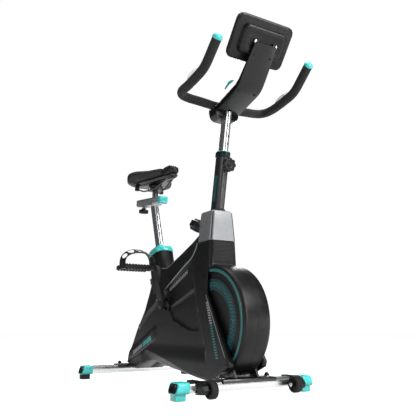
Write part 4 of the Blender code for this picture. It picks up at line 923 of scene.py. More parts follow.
def front_cover():
    """Front panel below the cowl, with shallow ribs across it and an arched lower lip."""
    columns = 40
    rows = 66
    z_top = 0.5026
    rib_pitch, rib_width, rib_depth = 6.6, 1.7, 0.0004      # the first two in millimetres
    bm = bmesh.new()
    grid = []
    for i in range(columns + 1):
        column = []
        for k in range(rows + 1):
            t = k / rows
            half = 0.058 - 0.0048 * (t if k else 0.0)
            u = -1.0 + 2.0 * i / columns
            y = half * u
            low = HUB.z + shroud_radius(y) + 0.0016
            z = low + (z_top - low) * t
            from_side = half - abs(y)
            x = 0.2043 + min(0.0101, from_side * 1.01)
            if from_side > 0.0101 and z > 0.432:
                x -= rib_depth * ((z * 1000.0) % rib_pitch < rib_width) * fade(from_side, 0.011, 0.014)
            if z < 0.4215 and from_side > 0.004:
                x += 0.0012 * fade(z, 0.4225, 0.4195)
            column.append(bm.verts.new((x, y, z)))
        grid.append(column)
    for first, second in zip(grid, grid[1:]):
        for a, b, c, d in zip(first, first[1:], second[1:], second):
            bm.faces.new((a, b, c, d))
    panel = finish_piece("front_panel", bm, SHELL, "frame", 30.0)
    if sum(p.normal.x for p in panel.data.polygons) < 0.0:
        panel.data.flip_normals()
    thicken(panel, COVER_WALL)
    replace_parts(panel, "front_cover")


# ---- base ------------------------------------------------------------------------------
BAR_Z = middle("front_floor_bar").z
BAR_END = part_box("front_floor_bar")[1].y
TOTAL_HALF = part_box("front_end_cap_left")[1].y


def cap_ring(x, side, y, scale, steps=8):
    outline = []
    for u, v in rounded(0.03 * scale, 0.017 * scale, 0.0115 * scale, steps):
        slope = 0.01 * (v / 0.017 + 1.0) / 2.0 * fade(y, TOTAL_HALF - 0.02, TOTAL_HALF - 0.006)
        outline.append(Vector((x + u, side * (y - slope), BAR_Z + v)))
    return outline


def block_rings(x, y, half_u, half_v, radius, levels):
    """Rings of a block that stands on the floor: levels are (height, growth) pairs."""
    return [[Vector((x + u, y + v, z)) for u, v in rounded(half_u + grow, half_v + grow, radius, 5)]
        for z, grow in levels]


def end_caps():
    start = BAR_END + 0.0003
    for end in ("front", "rear"):
        x = middle(f"{end}_floor_bar").x
        for label, side in SIDES:
            shell = [cap_ring(x, side, y, scale) for y, scale in ((start, 0.972), (start + 0.001, 0.992),
                (start + 0.0022, 1.0), (0.229, 1.0), (0.2294, 0.976), (0.2306, 0.976), (0.231, 1.0),
                (0.248, 1.0), (0.254, 0.996), (0.2575, 0.975), (0.2594, 0.935), (TOTAL_HALF, 0.885),
                (TOTAL_HALF, 0.8), (TOTAL_HALF - 0.0008, 0.785))]
            shapes = [shell]
            if end == "front":
                shapes.append(block_rings(x, side * (BAR_END + 0.024), 0.019, 0.018, 0.006,
                    ((0.0, -0.0022), (0.0006, -0.001), (0.0018, 0.0), (0.016, 0.0), (0.02, 0.0006),
                    (0.0226, 0.0014))))
            cap = several(f"{end}_cap_{label}", shapes, TEAL_GLOSS, "frame", 40.0)
            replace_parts(cap, f"{end}_end_cap_{label}")
            inset = [cap_ring(x, side, y, scale) for y, scale in ((TOTAL_HALF - 0.003, 0.78),
                (TOTAL_HALF - 0.0002, 0.78), (TOTAL_HALF, 0.75), (TOTAL_HALF, 0.6),
                (TOTAL_HALF - 0.0006, 0.56), (TOTAL_HALF - 0.0006, 0.1))]
            loft(f"{end}_cap_inset_{label}", inset, SHELL_GLOSS, "frame", smooth=40.0)


def hexagonal(u, v):
    """Point of a circle moved out to a nut's hexagon with slightly rounded corners."""
    from_flat = abs(math.cos(math.atan2(v, u) % (math.pi / 3) - math.pi / 6))
    stretch = max(from_flat, 0.86)
    return u / stretch * 0.9, v / stretch * 0.9


def base_bolts():
    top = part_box("front_bar_saddle")[1].z
    for end in ("front", "rear"):
        x = middle(f"{end}_bar_saddle").x
        washers = []
        nuts = []
        for y in (-0.086, 0.086):
            washers.append(turned_rings(((0.0001, -0.0002), (0.0105, -0.0002), (0.0108, 0.0006),
                (0.0105, 0.0015), (0.0001, 0.0015)), (x, y, top), (0, 0, 1), 32))
            dome = [(0.0001, 0.0), (0.008, 0.0), (0.008, 0.0048), (0.0073, 0.0056), (0.0066, 0.006)]
            for i in range(1, 6):
                turn = math.radians(18.0 * i)
                dome.append((0.0064 * math.cos(turn) + 0.0001, 0.006 + 0.006 * math.sin(turn)))
            rings = []
            for k, (radius, up) in enumerate(dome):
                outline = circle(radius, 36)
                if 1 <= k <= 3:
                    outline = [hexagonal(u, v) for u, v in outline]
                rings.append(ring((x, y, top + 0.0013 + up), (0, 0, 1), outline))
            nuts.append(rings)
        several(f"{end}_bar_washers", washers, STEEL, "frame")
        several(f"{end}_bar_nuts", nuts, KNOB, "frame", 25.0)


def transport_wheels():
    for label, side in SIDES:
        node = f"transport_wheel_{label}"
        centre = joint_point(f"{label}_transport_wheel_spin")
        tread = [(0.0045, -0.0105), (0.0085, -0.011), (0.009, -0.007), (0.0175, -0.0066),
            (0.0182, -0.0108), (0.0205, -0.0115), (0.023, -0.0111), (0.025, -0.0098), (0.0258, -0.008),
            (0.026, -0.005), (0.0252, -0.0044), (0.0252, -0.0034), (0.026, -0.0028)]
        profile = tread + [(r, -u) for r, u in reversed(tread)]
        body = f"{label}_transport_wheel"
        wheel = turned(f"wheel_{label}", profile, centre, Y_AXIS, RUBBER, body, 72,
            loop=True, smooth=30.0)
        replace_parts(wheel, node)
        ribs = []
        for i in range(6):
            turn = 2.0 * math.pi * i / 6
            out = Vector((math.cos(turn), 0.0, math.sin(turn)))
            over = Vector((-out.z, 0.0, out.x))
            for face in (-1.0, 1.0):
                rings = []
                for reach in (0.0082, 0.018):
                    rings.append([centre + out * reach + over * w + Y_AXIS * face * u
                        for w, u in ((-0.0012, 0.006), (0.0012, 0.006), (0.0009, 0.0096),
                        (-0.0009, 0.0096))])
                ribs.append(rings)
        several(f"wheel_ribs_{label}", ribs, KNOB, body)
        bolt = ((0.0001, 0.0), (0.0062, 0.0), (0.0066, 0.0008), (0.0064, 0.0028), (0.005, 0.0042),
            (0.003, 0.0046), (0.0028, 0.0034), (0.0001, 0.0034))
        turned(f"wheel_bolt_{label}", bolt, centre - Y_AXIS * side * 0.0166, -side * Y_AXIS, STEEL,
            "frame", 32)


# ---- knobs -----------------------------------------------------------------------------
def knob(name, base, axis, steps, lobes, mat, body, node, power=1.0, count=120):
    """Star knob from (radius, distance, flute depth) steps."""
    rings = [ring(base + axis * distance, axis, lobed(radius, depth, lobes, count, power))
        for radius, distance, depth in steps]
    made = loft(name, rings, mat, body, smooth=40.0)
    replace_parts(made, node)
    return made


def knobs():
    axis = joint_axis("resistance_dial_turn")
    base = joint_point("resistance_dial_turn")
    steps = [(0.0051, -0.02, 0.0), (0.0051, 0.012, 0.0), (0.015, 0.0126, 0.0), (0.016, 0.0136, 0.0),
        (0.018, 0.036, 0.0), (0.0205, 0.0378, 0.0004), (0.0236, 0.0396, 0.0016), (0.0245, 0.042, 0.0028),
        (0.025, 0.05, 0.0032), (0.025, 0.074, 0.0032), (0.0247, 0.0772, 0.003), (0.0236, 0.0795, 0.0024),
        (0.0215, 0.0808, 0.0014), (0.019, 0.0811, 0.0), (0.0168, 0.0811, 0.0), (0.0162, 0.08, 0.0),
        (0.012, 0.0802, 0.0), (0.0001, 0.0806, 0.0)]
    knob("resistance_dial_grip", base, axis, steps, 8, KNOB, "resistance_dial", "resistance_knob")
    up = axis.cross(Y_AXIS).normalized()
    mark = [[base + axis * reach + Y_AXIS * y + up * v for y, v in ((-0.001, 0.0035), (0.001, 0.0035),
        (0.001, 0.0125), (-0.001, 0.0125))] for reach in (0.0798, 0.0809)]
    loft("resistance_dial_mark", mark, WHITE_PRINT, "resistance_dial")

    start = joint_point("stem_clamp_turn")
    axis = joint_axis("stem_clamp_turn")
    steps = [(0.0041, 0.0266, 0.0), (0.0041, 0.0358, 0.0), (0.0098, 0.0364, 0.0), (0.0106, 0.0374, 0.0),
        (0.0112, 0.0398, 0.0), (0.018, 0.0404, 0.001), (0.0232, 0.0414, 0.0028), (0.0252, 0.043, 0.0036),
        (0.026, 0.0456, 0.004), (0.026, 0.0518, 0.004), (0.0254, 0.0542, 0.0038), (0.0238, 0.0558, 0.003),
        (0.02, 0.0568, 0.0015), (0.012, 0.057, 0.0), (0.011, 0.0562, 0.0), (0.0001, 0.0564, 0.0)]
    knob("stem_clamp_grip", start, axis, steps, 8, KNOB, "stem_clamp_knob", "handlebar_height_knob", 0.6)

    axis = Vector((-SEAT_AXIS.z, 0.0, SEAT_AXIS.x))
    start = SEAT_TOP + SEAT_AXIS * -0.115
    steps = [(0.0051, 0.0246, 0.0), (0.0051, 0.064, 0.0), (0.0112, 0.0646, 0.0), (0.012, 0.0656, 0.0),
        (0.0125, 0.0698, 0.0), (0.017, 0.0704, 0.002), (0.02, 0.0716, 0.004), (0.0215, 0.0746, 0.0045),
        (0.0215, 0.087, 0.0045), (0.0205, 0.0896, 0.0044), (0.018, 0.0911, 0.0034), (0.013, 0.0915, 0.0),
        (0.0001, 0.0915, 0.0)]
    knob("seat_pin_grip", start, axis, steps, 6, KNOB, "seat_pull_pin", "seat_height_knob")
    collar = ((0.0075, -0.001), (0.011, -0.001), (0.0112, 0.004), (0.01, 0.0052), (0.0075, 0.0052))
    turned("seat_pin_collar", collar, start + axis * 0.06, axis, KNOB, "frame", 40, loop=True)

    start = SLIDER_MIDDLE + SLIDER_AXIS * -0.103
    steps = [(0.0175, -0.048, 0.003), (0.02, -0.047, 0.0042), (0.0215, -0.0442, 0.0045),
        (0.0215, -0.033, 0.0045), (0.0208, -0.0308, 0.0042), (0.018, -0.0298, 0.0026),
        (0.0112, -0.0292, 0.0), (0.0104, -0.028, 0.0), (0.01, -0.024, 0.0), (0.009, -0.0232, 0.0),
        (0.004, -0.023, 0.0), (0.004, -0.0157, 0.0)]
    knob("slider_clamp_grip", start, SLIDER_UP, steps, 6, KNOB, "slider_clamp_knob", "slider_knob")


# ---- drive: cranks and pedals --------------------------------------------------------------
def pedal_centre(label):
    point = joint_point(f"{label}_pedal_spin")
    return Vector((point.x, 0.0, point.z))


PEDAL_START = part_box("pedal_left")[0].y + 0.0002
PEDAL_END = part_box("pedal_left")[1].y - 0.0002
PEDAL_HALF_X = 0.044
PEDAL_HALF_Z = 0.011


def tread_rail(centre, side, x_low, x_high):
    """Long bar of a pedal with teeth on its upper and lower edges."""
    rings = []
    teeth = 10
    run = PEDAL_END - PEDAL_START
    steps = teeth * 4
    for i in range(steps + 1):
        y = side * (PEDAL_START + run * i / steps)
        tooth = 0.001 if i % 4 in (1, 2) else -0.0024
        high = PEDAL_HALF_Z - 0.001 + tooth
        rings.append([centre + Vector((x, y, z)) for x, z in ((x_low, -high), (x_high, -high),
            (x_high, high), (x_low, high))])
    return rings


def box_rings(low, high):
    return [[Vector((x, y, low.z)), Vector((x, y, high.z)), Vector((x2, y2, high.z)),
        Vector((x2, y2, low.z))] for x, y, x2, y2 in ((low.x, low.y, low.x, high.y),
        (high.x, low.y, high.x, high.y))]


def pedals():
    run = PEDAL_END - PEDAL_START
    for label, side in SIDES:
        centre = pedal_centre(label)
        body = f"{label}_pedal"
        shapes = [tread_rail(centre, side, -PEDAL_HALF_X, -PEDAL_HALF_X + 0.01),
            tread_rail(centre, side, PEDAL_HALF_X - 0.01, PEDAL_HALF_X)]
        for y in (PEDAL_START + 0.0004, PEDAL_START + run * 0.32, PEDAL_START + run * 0.63,
                PEDAL_END - 0.0084):
            edges = sorted((side * y, side * (y + 0.008)))
            for x_low, x_high in ((-0.0345, -0.006), (0.006, 0.0345)):
                shapes.append(box_rings(centre + Vector((x_low, edges[0], -0.0078)),
                    centre + Vector((x_high, edges[1], 0.0078))))
        pedal = several(f"pedal_tread_{label}", shapes, KNOB, body)
        bevel(pedal, 0.0009, 2)
        barrel = ((0.0054, PEDAL_START), (0.0098, PEDAL_START), (0.0104, PEDAL_START + 0.001),
            (0.0104, PEDAL_START + run * 0.49), (0.0092, PEDAL_START + run * 0.51),
            (0.0092, PEDAL_END - 0.008), (0.0086, PEDAL_END - 0.006), (0.0054, PEDAL_END - 0.006))
        turned(f"pedal_barrel_{label}", barrel, centre, (0, side, 0), KNOB, body, 40, loop=True)
        cap = ((0.0001, PEDAL_END - 0.0055), (0.0088, PEDAL_END - 0.0055), (0.0088, PEDAL_END - 0.0012),
            (0.0074, PEDAL_END - 0.0002), (0.0001, PEDAL_END))
        turned(f"pedal_cap_{label}", cap, centre, (0, side, 0), KNOB, body, 40)
        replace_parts(pedal, f"pedal_{label}")
        toe_cage(label, side, centre, body)


def toe_cage(label, side, centre, body):
    """Arched toe cage with windows between its ribs, and the strap over it."""
    mid = (PEDAL_START + PEDAL_END) / 2
    half = (PEDAL_END - PEDAL_START) / 2 + 0.0016
    across_steps = 48
    along = ((-0.01, 1.0), (-0.006, 1.0), (0.002, 1.0), (0.011, 0.99), (0.018, 0.96), (0.025, 0.92),
        (0.033, 0.86), (0.04, 0.78), (0.045, 0.71), (0.048, 0.66))
    bm = bmesh.new()
    grid = []
    for x, factor in along:
        row = []
        for i in range(across_steps + 1):
            t = i / across_steps
            if t < 0.1:
                y, z = mid - half, -0.009 + 0.023 * t / 0.1
            elif t > 0.9:
                y, z = mid + half, -0.009 + 0.023 * (1.0 - t) / 0.1
            else:
                angle = math.pi * (t - 0.1) / 0.8
                y = mid - half * math.cos(angle)
                z = 0.014 + 0.0565 * factor * math.sin(angle) ** 0.8
            row.append(bm.verts.new(centre + Vector((x, side * y, z))))
        grid.append(row)
    for k, (first, second) in enumerate(zip(grid, grid[1:])):
        for i in range(across_steps):
            window = 2 <= k <= 6 and 7 <= i < 41 and (i - 7) % 7 not in (5, 6)
            corner = k in (2, 6) and (i - 7) % 7 in (0, 4)
            if window and not corner:
                continue
            bm.faces.new((first[i], first[i + 1], second[i + 1], second[i]))
    cage = finish_piece(f"toe_cage_arch_{label}", bm, KNOB, body, 60.0)
    thicken(cage, 0.0021, 0.0)
    subdivide(cage)
    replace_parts(cage, f"toe_cage_{label}")


def cranks():
    for label, side in SIDES:
        dress(f"crank_arm_{label}", PAINT, width=0.002)
        axis = Vector((0.0, side, 0.0))
        cover = ((0.0001, 0.0858), (0.012, 0.0858), (0.0122, 0.0876), (0.0112, 0.0886), (0.007, 0.089),
            (0.0064, 0.0882), (0.0001, 0.0882))
        turned(f"crank_bolt_{label}", cover, CRANK_CENTRE, axis, KNOB, "crankset", 40)
        bezel = ((0.0232, 0.052), (0.0262, 0.052), (0.0268, 0.0575), (0.0262, 0.0588), (0.0236, 0.059),
            (0.0232, 0.058))
        turned(f"crank_bezel_{label}", bezel, CRANK_CENTRE, axis, KNOB, "frame", 64, loop=True)
    dress("crank_spindle", STEEL)
    dress("crank_bearing_shell", STEEL)
    dress("crank_pulley", SHELL)
    dress("drive_belt", RUBBER)


# ---- handlebar -------------------------------------------------------------------------------
BAR_LINE = ((0.226, 0.0, 0.99), (0.225, 0.05, 0.99), (0.22, 0.105, 0.996), (0.212, 0.14, 1.002),
    (0.216, 0.17, 1.006), (0.242, 0.186, 1.008), (0.29, 0.188, 1.011), (0.345, 0.188, 1.02),
    (0.38, 0.188, 1.028), (0.406, 0.188, 1.042), (0.433, 0.188, 1.066), (0.468, 0.188, 1.098))
GRIP_R = 0.016


def handlebar():
    half = [Vector(p) for p in BAR_LINE]
    mirrored = [Vector((p.x, -p.y, p.z)) for p in half[:0:-1]]
    path = smooth_path(mirrored + half, 8)
    lengths = [0.0]
    for a, b in zip(path, path[1:]):
        lengths.append(lengths[-1] + (b - a).length)
    total = lengths[-1]

    def radius(i):
        from_end = min(lengths[i], total - lengths[i])
        r = GRIP_R
        for groove in (0.19, 0.43):
            r -= 0.0012 * (1.0 - fade(abs(from_end - groove), 0.0, 0.0035))
        if abs(path[i].y) < 0.06 and from_end > 0.3:
            r = 0.0152
        return circle(r, 36)

    bar = loft("handlebar_grips", sweep(path, radius), FOAM, "handlebar_stem", smooth=60.0)
    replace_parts(bar, "handlebar")
    tip = half[-1]
    run = (half[-1] - half[-2]).normalized()
    for label, side in SIDES:
        base = Vector((tip.x, side * tip.y, tip.z))
        profile = ((0.0001, 0.0004), (0.0158, 0.0004), (0.0166, 0.0012), (0.0167, 0.003), (0.0165, 0.006),
            (0.016, 0.0086), (0.0149, 0.0114), (0.0131, 0.014), (0.0105, 0.0158), (0.0072, 0.0168),
            (0.0036, 0.0172), (0.0001, 0.0172))
        cap = turned(f"horn_tip_{label}", profile, base, run, TEAL_GLOSS, "handlebar_stem", 48,
            smooth=60.0)
        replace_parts(cap, f"horn_cap_{label}")
        pads = [i for i, p in enumerate(path) if side * p.y > 0.18 and 0.296 < p.x < 0.372]
        rings = []
        for order, i in enumerate(pads):
            along = (path[i + 1] - path[i - 1]).normalized()
            up = (Vector((0, 0, 1)) - along * along.z).normalized()
            over = along.cross(up)
            end = min(order, len(pads) - 1 - order)
            spread = math.radians((30.0, 42.0, 46.0)[min(end, 2)])
            rise = 0.0012 + 0.0066 * math.sin(math.pi * (order + 0.5) / len(pads)) ** 0.8
            outer = [(GRIP_R + rise, -spread + 2.0 * spread * k / 12) for k in range(13)]
            inner = [(GRIP_R - 0.0004, spread - 2.0 * spread * k / 12) for k in range(13)]
            rings.append([path[i] + up * r * math.cos(a) + over * r * math.sin(a)
                for r, a in outer + inner])
        pad = loft(f"pulse_pad_{label}", rings, STEEL, "handlebar_stem", smooth=50.0)
        bevel(pad, 0.0005, 2, 50.0)


BRACKET_LINE = ((0.195, 0.964), (0.25, 0.964), (0.382, 1.001), (0.429, 1.0598), (0.48, 1.1253))
BRACKET_REACH = (0.0, 0.014, 0.03, 0.03, 0.0)
BRACKET_HALF = (0.0485, 0.0485, 0.049, 0.0475, 0.043)
BRACKET_DEPTH = (0.018, 0.018, 0.018, 0.011, 0.011)
CLAMP_X = (0.196, 0.244)


def between(x, places, values):
    """Straight-line value at x from values at rising places."""
    for (x0, x1), (v0, v1) in zip(zip(places, places[1:]), zip(values, values[1:])):
        if x <= x1:
            return v0 + (v1 - v0) * max(0.0, x - x0) / (x1 - x0)
    return values[-1]


def bracket():
    """Bent plate with side flanges from the post's clamp to the display."""
    path = []
    for i, (corner, reach) in enumerate(zip(BRACKET_LINE, BRACKET_REACH)):
        here = Vector(corner)
        if not reach:
            path.append(here)
            continue
        before = (Vector(BRACKET_LINE[i - 1]) - here).normalized()
        after = (Vector(BRACKET_LINE[i + 1]) - here).normalized()
        path += corner_arc(here, before, after, reach, 8)
    places = [x for x, z in BRACKET_LINE]
    rings = []
    for i, point in enumerate(path):
        along = (path[min(i + 1, len(path) - 1)] - path[max(i - 1, 0)]).normalized()
        normal = Vector((-along.y, along.x))
        half = between(point.x, places, BRACKET_HALF)
        depth = between(point.x, places, BRACKET_DEPTH)
        section = [(half - 0.002, 0.0), (half - 0.0006, 0.0006), (half, 0.002), (half, depth - 0.001),
            (half - 0.001, depth), (half - 0.002, depth), (half - 0.003, depth - 0.001),
            (half - 0.003, 0.003)]
        section += [(-y, d) for y, d in reversed(section)]
        rings.append([Vector((point.x + normal.x * d, y, point.y + normal.y * d)) for y, d in section])
    plate = loft("bracket_plate", rings, SHELL_GLOSS, "handlebar_stem", smooth=25.0)
    half = BRACKET_HALF[0]
    section = [(half, 0.965), (half, 0.96)]
    for i in range(1, 11):
        turn = math.radians(9.0 * i)
        section.append((half - 0.025 * (1.0 - math.cos(turn)), 0.96 - 0.022 * math.sin(turn)))
    section += [(-y, z) for y, z in reversed(section)]
    low, high = CLAMP_X
    rings = []
    for x, shrink in ((low, 0.002), (low + 0.0006, 0.0008), (low + 0.002, 0.0), (high - 0.002, 0.0),
            (high - 0.0006, 0.0008), (high, 0.002)):
        rings.append([Vector((x, y * (1.0 - shrink / half), min(z + shrink, 0.965))) for y, z in section])
    clamp = loft("post_clamp_block", rings, SHELL_GLOSS, "handlebar_stem", smooth=30.0)
    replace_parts(plate, "console_bracket")
    return clamp


def bracket_details():
    line = BRACKET_LINE
    shapes = []
    for a, b, t in ((1, 2, 0.86), (3, 4, 0.5)):
        start = Vector((line[a][0], 0.0, line[a][1]))
        end = Vector((line[b][0], 0.0, line[b][1]))
        down = (end - start).cross(Y_AXIS).normalized()
        if down.z > 0.0:
            down = -down
        for y in (-0.033, 0.033):
            centre = start.lerp(end, t) + Y_AXIS * y
            profile = ((0.0001, -0.002), (0.0042, -0.002), (0.0042, 0.0006), (0.0036, 0.0013),
                (0.0022, 0.0014), (0.002, 0.0004), (0.0001, 0.0004))
            shapes.append(turned_rings(profile, centre, down, 24))
    several("bracket_screws", shapes, KNOB, "handlebar_stem")
    for label, side in SIDES:
        centre = joint_point("console_tilt") + Y_AXIS * side * 0.0418
        profile = [(0.0001, -0.002), (0.0066, -0.002), (0.007, -0.0012), (0.007, 0.0014)]
        for i in range(1, 6):
            turn = math.radians(17.0 * i)
            profile.append((0.007 * math.cos(turn), 0.0014 + 0.003 * math.sin(turn)))
        profile += [(0.0024, 0.0026), (0.0001, 0.0026)]
        turned(f"hinge_bolt_{label}", profile, centre, (0, side, 0), BRIGHT, "handlebar_stem", 36)
        # a thin light grey bead along each flange's outer edge: a painted highlight on the glossy black
        # bracket
        path = [Vector((x, side * y, z)) for x, y, z in ((0.199, 0.0488, 0.983), (0.244, 0.0488, 0.983),
            (0.29, 0.0489, 0.994), (0.34, 0.049, 1.008), (0.3715, 0.049, 1.017))]
        loft(f"bracket_edge_highlight_{label}", sweep(path, lambda i: oval(0.001, 0.001, 12, 2.0)), PAINTED_HIGHLIGHT,
            "handlebar_stem")
    accent = [Vector((x, y, z)) for x, y, z in ((0.302, -0.0475, 1.033), (0.313, -0.0475, 1.0405),
        (0.327, -0.0475, 1.0455), (0.34, -0.0475, 1.0465), (0.352, -0.0475, 1.044))]
    for label, side in SIDES:
        path = smooth_path([Vector((p.x, side * -p.y, p.z - 0.008)) for p in accent], 4)
        count = len(path)
        rings = sweep(path, lambda i: oval(0.0012 + 0.005 * math.sin(math.pi * (i + 0.6) / (count + 0.2)),
            0.003, 16, 2.0))
        loft(f"bracket_accent_{label}", rings, TEAL_GLOSS, "handlebar_stem", smooth=60.0)


def tube_post(point, axis, low, inner_top, top):
    """Rings of a smooth hollow post of flattened section along an axis."""
    a, b = POST_HALF
    outer = oval(a, b, 96)
    inner = oval(a - POST_WALL, b - POST_WALL, 96)
    return [ring(point + axis * inner_top, axis, inner), ring(point + axis * low, axis, inner),
        ring(point + axis * low, axis, outer), ring(point + axis * top, axis, outer)]


def head_post():
    dress("frame_head_tube", PAINT, width=0.0012)
    post = tube_post(HEAD_POINT, HEAD_AXIS, -0.06, 0.363, 0.366)
    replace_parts(loft("handlebar_post_tube", post, CHROME, "handlebar_stem", loop=True), "handlebar_post")
    low = HEAD_POINT + HEAD_AXIS * 0.2003
    steps = ((0.003, 0.0), (0.0047, 0.0008), (0.0052, 0.0026), (0.0052, 0.015), (0.0048, 0.0176),
        (0.0038, 0.0192), (0.001, 0.0196))
    rings = [ring(low + HEAD_AXIS * up, HEAD_AXIS, oval(0.0275 + grow, 0.0155 + grow, 72))
        for grow, up in steps]
    hole = oval(0.0244, 0.0124, 72)
    rings += [ring(low + HEAD_AXIS * up, HEAD_AXIS, hole) for up in (0.0192, 0.0)]
    collar = loft("head_bush", rings, KNOB, "frame", loop=True)
    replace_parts(collar, "head_collar")
    steps = ((0.001, 0.0196), (0.0036, 0.0196), (0.0042, 0.0204), (0.004, 0.0216), (0.0028, 0.0226),
        (0.0006, 0.0229), (0.0002, 0.0222))
    rings = [ring(low + HEAD_AXIS * up, HEAD_AXIS, oval(0.0262 + grow, 0.0142 + grow, 72))
        for grow, up in steps]
    loft("head_bush_ring", rings, TEAL_GLOSS, "frame", loop=True, smooth=60.0)
    front = Vector((HEAD_AXIS.z, 0.0, -HEAD_AXIS.x))
    shapes = []
    for up in (0.25, 0.275):
        centre = HEAD_POINT + HEAD_AXIS * up + front * 0.02355
        shapes.append(turned_rings(((0.0001, 0.0), (0.0034, 0.0), (0.0034, 0.0005), (0.0001, 0.0005)),
            centre, front, 24))
    several("post_stops", shapes, KNOB, "handlebar_stem")
    for label, side in SIDES:
        bm = bmesh.new()
        for i in range(13):
            up = 0.04 + 0.0072 * i
            rings = []
            for y in (0.0178, 0.0184):
                rings.append([Vector((HEAD_X, side * y, HEAD_Z)) + HEAD_AXIS * (up + v + 0.35 * u)
                    + front * u for u, v in ((-0.0075, 0.0), (0.0075, 0.0), (0.0075, 0.0042),
                    (-0.0075, 0.0042))])
            skin(bm, rings)
        finish_piece(f"head_tube_marks_{label}", bm, TEAL_PRINT, "frame")


def console():
    dress("console_housing", SHELL, 30.0, 0.001)
    low = Vector((0.4079, 0.0, 1.0839))
    high = Vector((0.4987, 0.0, 1.2035))
    rise = (high - low).normalized()
    out = Vector((-rise.z, 0.0, rise.x))
    centre = (low + high) / 2

    def plate(offset, half_wide, half_up, radius, lift):
        return [centre + out * offset + rise * (v + lift) + Y_AXIS * u
            for u, v in rounded(half_wide, half_up, radius, 8)]

    screen = [plate(0.0204, 0.0846, 0.0366, 0.0056, 0.019), plate(0.0212, 0.0846, 0.0366, 0.0056, 0.019),
        plate(0.0214, 0.084, 0.036, 0.005, 0.019)]
    loft("console_screen", screen, GLASS, "console")
    frame_rings = [plate(0.0214, 0.0872, 0.0392, 0.008, 0.019),
        plate(0.0227, 0.0868, 0.0388, 0.0078, 0.019), plate(0.0227, 0.085, 0.037, 0.006, 0.019),
        plate(0.0214, 0.0848, 0.0368, 0.0058, 0.019)]
    loft("screen_frame", frame_rings, KNOB, "console", loop=True)
    back = [plate(-0.0176, 0.076, 0.04, 0.014, 0.0), plate(-0.019, 0.0752, 0.0392, 0.0134, 0.0),
        plate(-0.0195, 0.0735, 0.0375, 0.012, 0.0), plate(-0.0195, 0.064, 0.028, 0.01, 0.0),
        plate(-0.0189, 0.0625, 0.0265, 0.009, 0.0)]
    loft("console_back_plate", back, SHELL, "console")
    shapes = []
    for y in (-0.088, 0.088):
        for v in (-0.055, 0.055):
            point = centre + out * 0.0018 + rise * v + Y_AXIS * y
            shapes.append(turned_rings(((0.0001, -0.0008), (0.0036, -0.0008), (0.0038, 0.0008),
                (0.003, 0.0016), (0.0014, 0.0016), (0.0012, 0.0008), (0.0001, 0.0008)), point, -out, 20))
    several("console_screws", shapes, KNOB, "console")
    for label, y in (("right", -0.045), ("centre", 0.0), ("left", 0.045)):
        base = centre - rise * 0.042 + Y_AXIS * y
        profile = ((0.0001, 0.017), (0.0085, 0.017), (0.0085, 0.0232), (0.0081, 0.0243), (0.0072, 0.025),
            (0.005, 0.0247), (0.0001, 0.0245))
        key = turned(f"key_{label}", profile, base, out, TEAL_GLOSS, f"{label}_key", 48)
        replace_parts(key, f"console_key_{label}")
        rim = ((0.0093, 0.0214), (0.0112, 0.0214), (0.011, 0.0224), (0.0104, 0.0228), (0.0096, 0.0226),
            (0.0093, 0.022))
        turned(f"key_rim_{label}", rim, base, out, KNOB, "console", 48, loop=True)


# ---- seat --------------------------------------------------------------------------------------
def slider_point(along, up, y=0.0):
    return SLIDER_MIDDLE + SLIDER_AXIS * along + SLIDER_UP * up + Y_AXIS * y


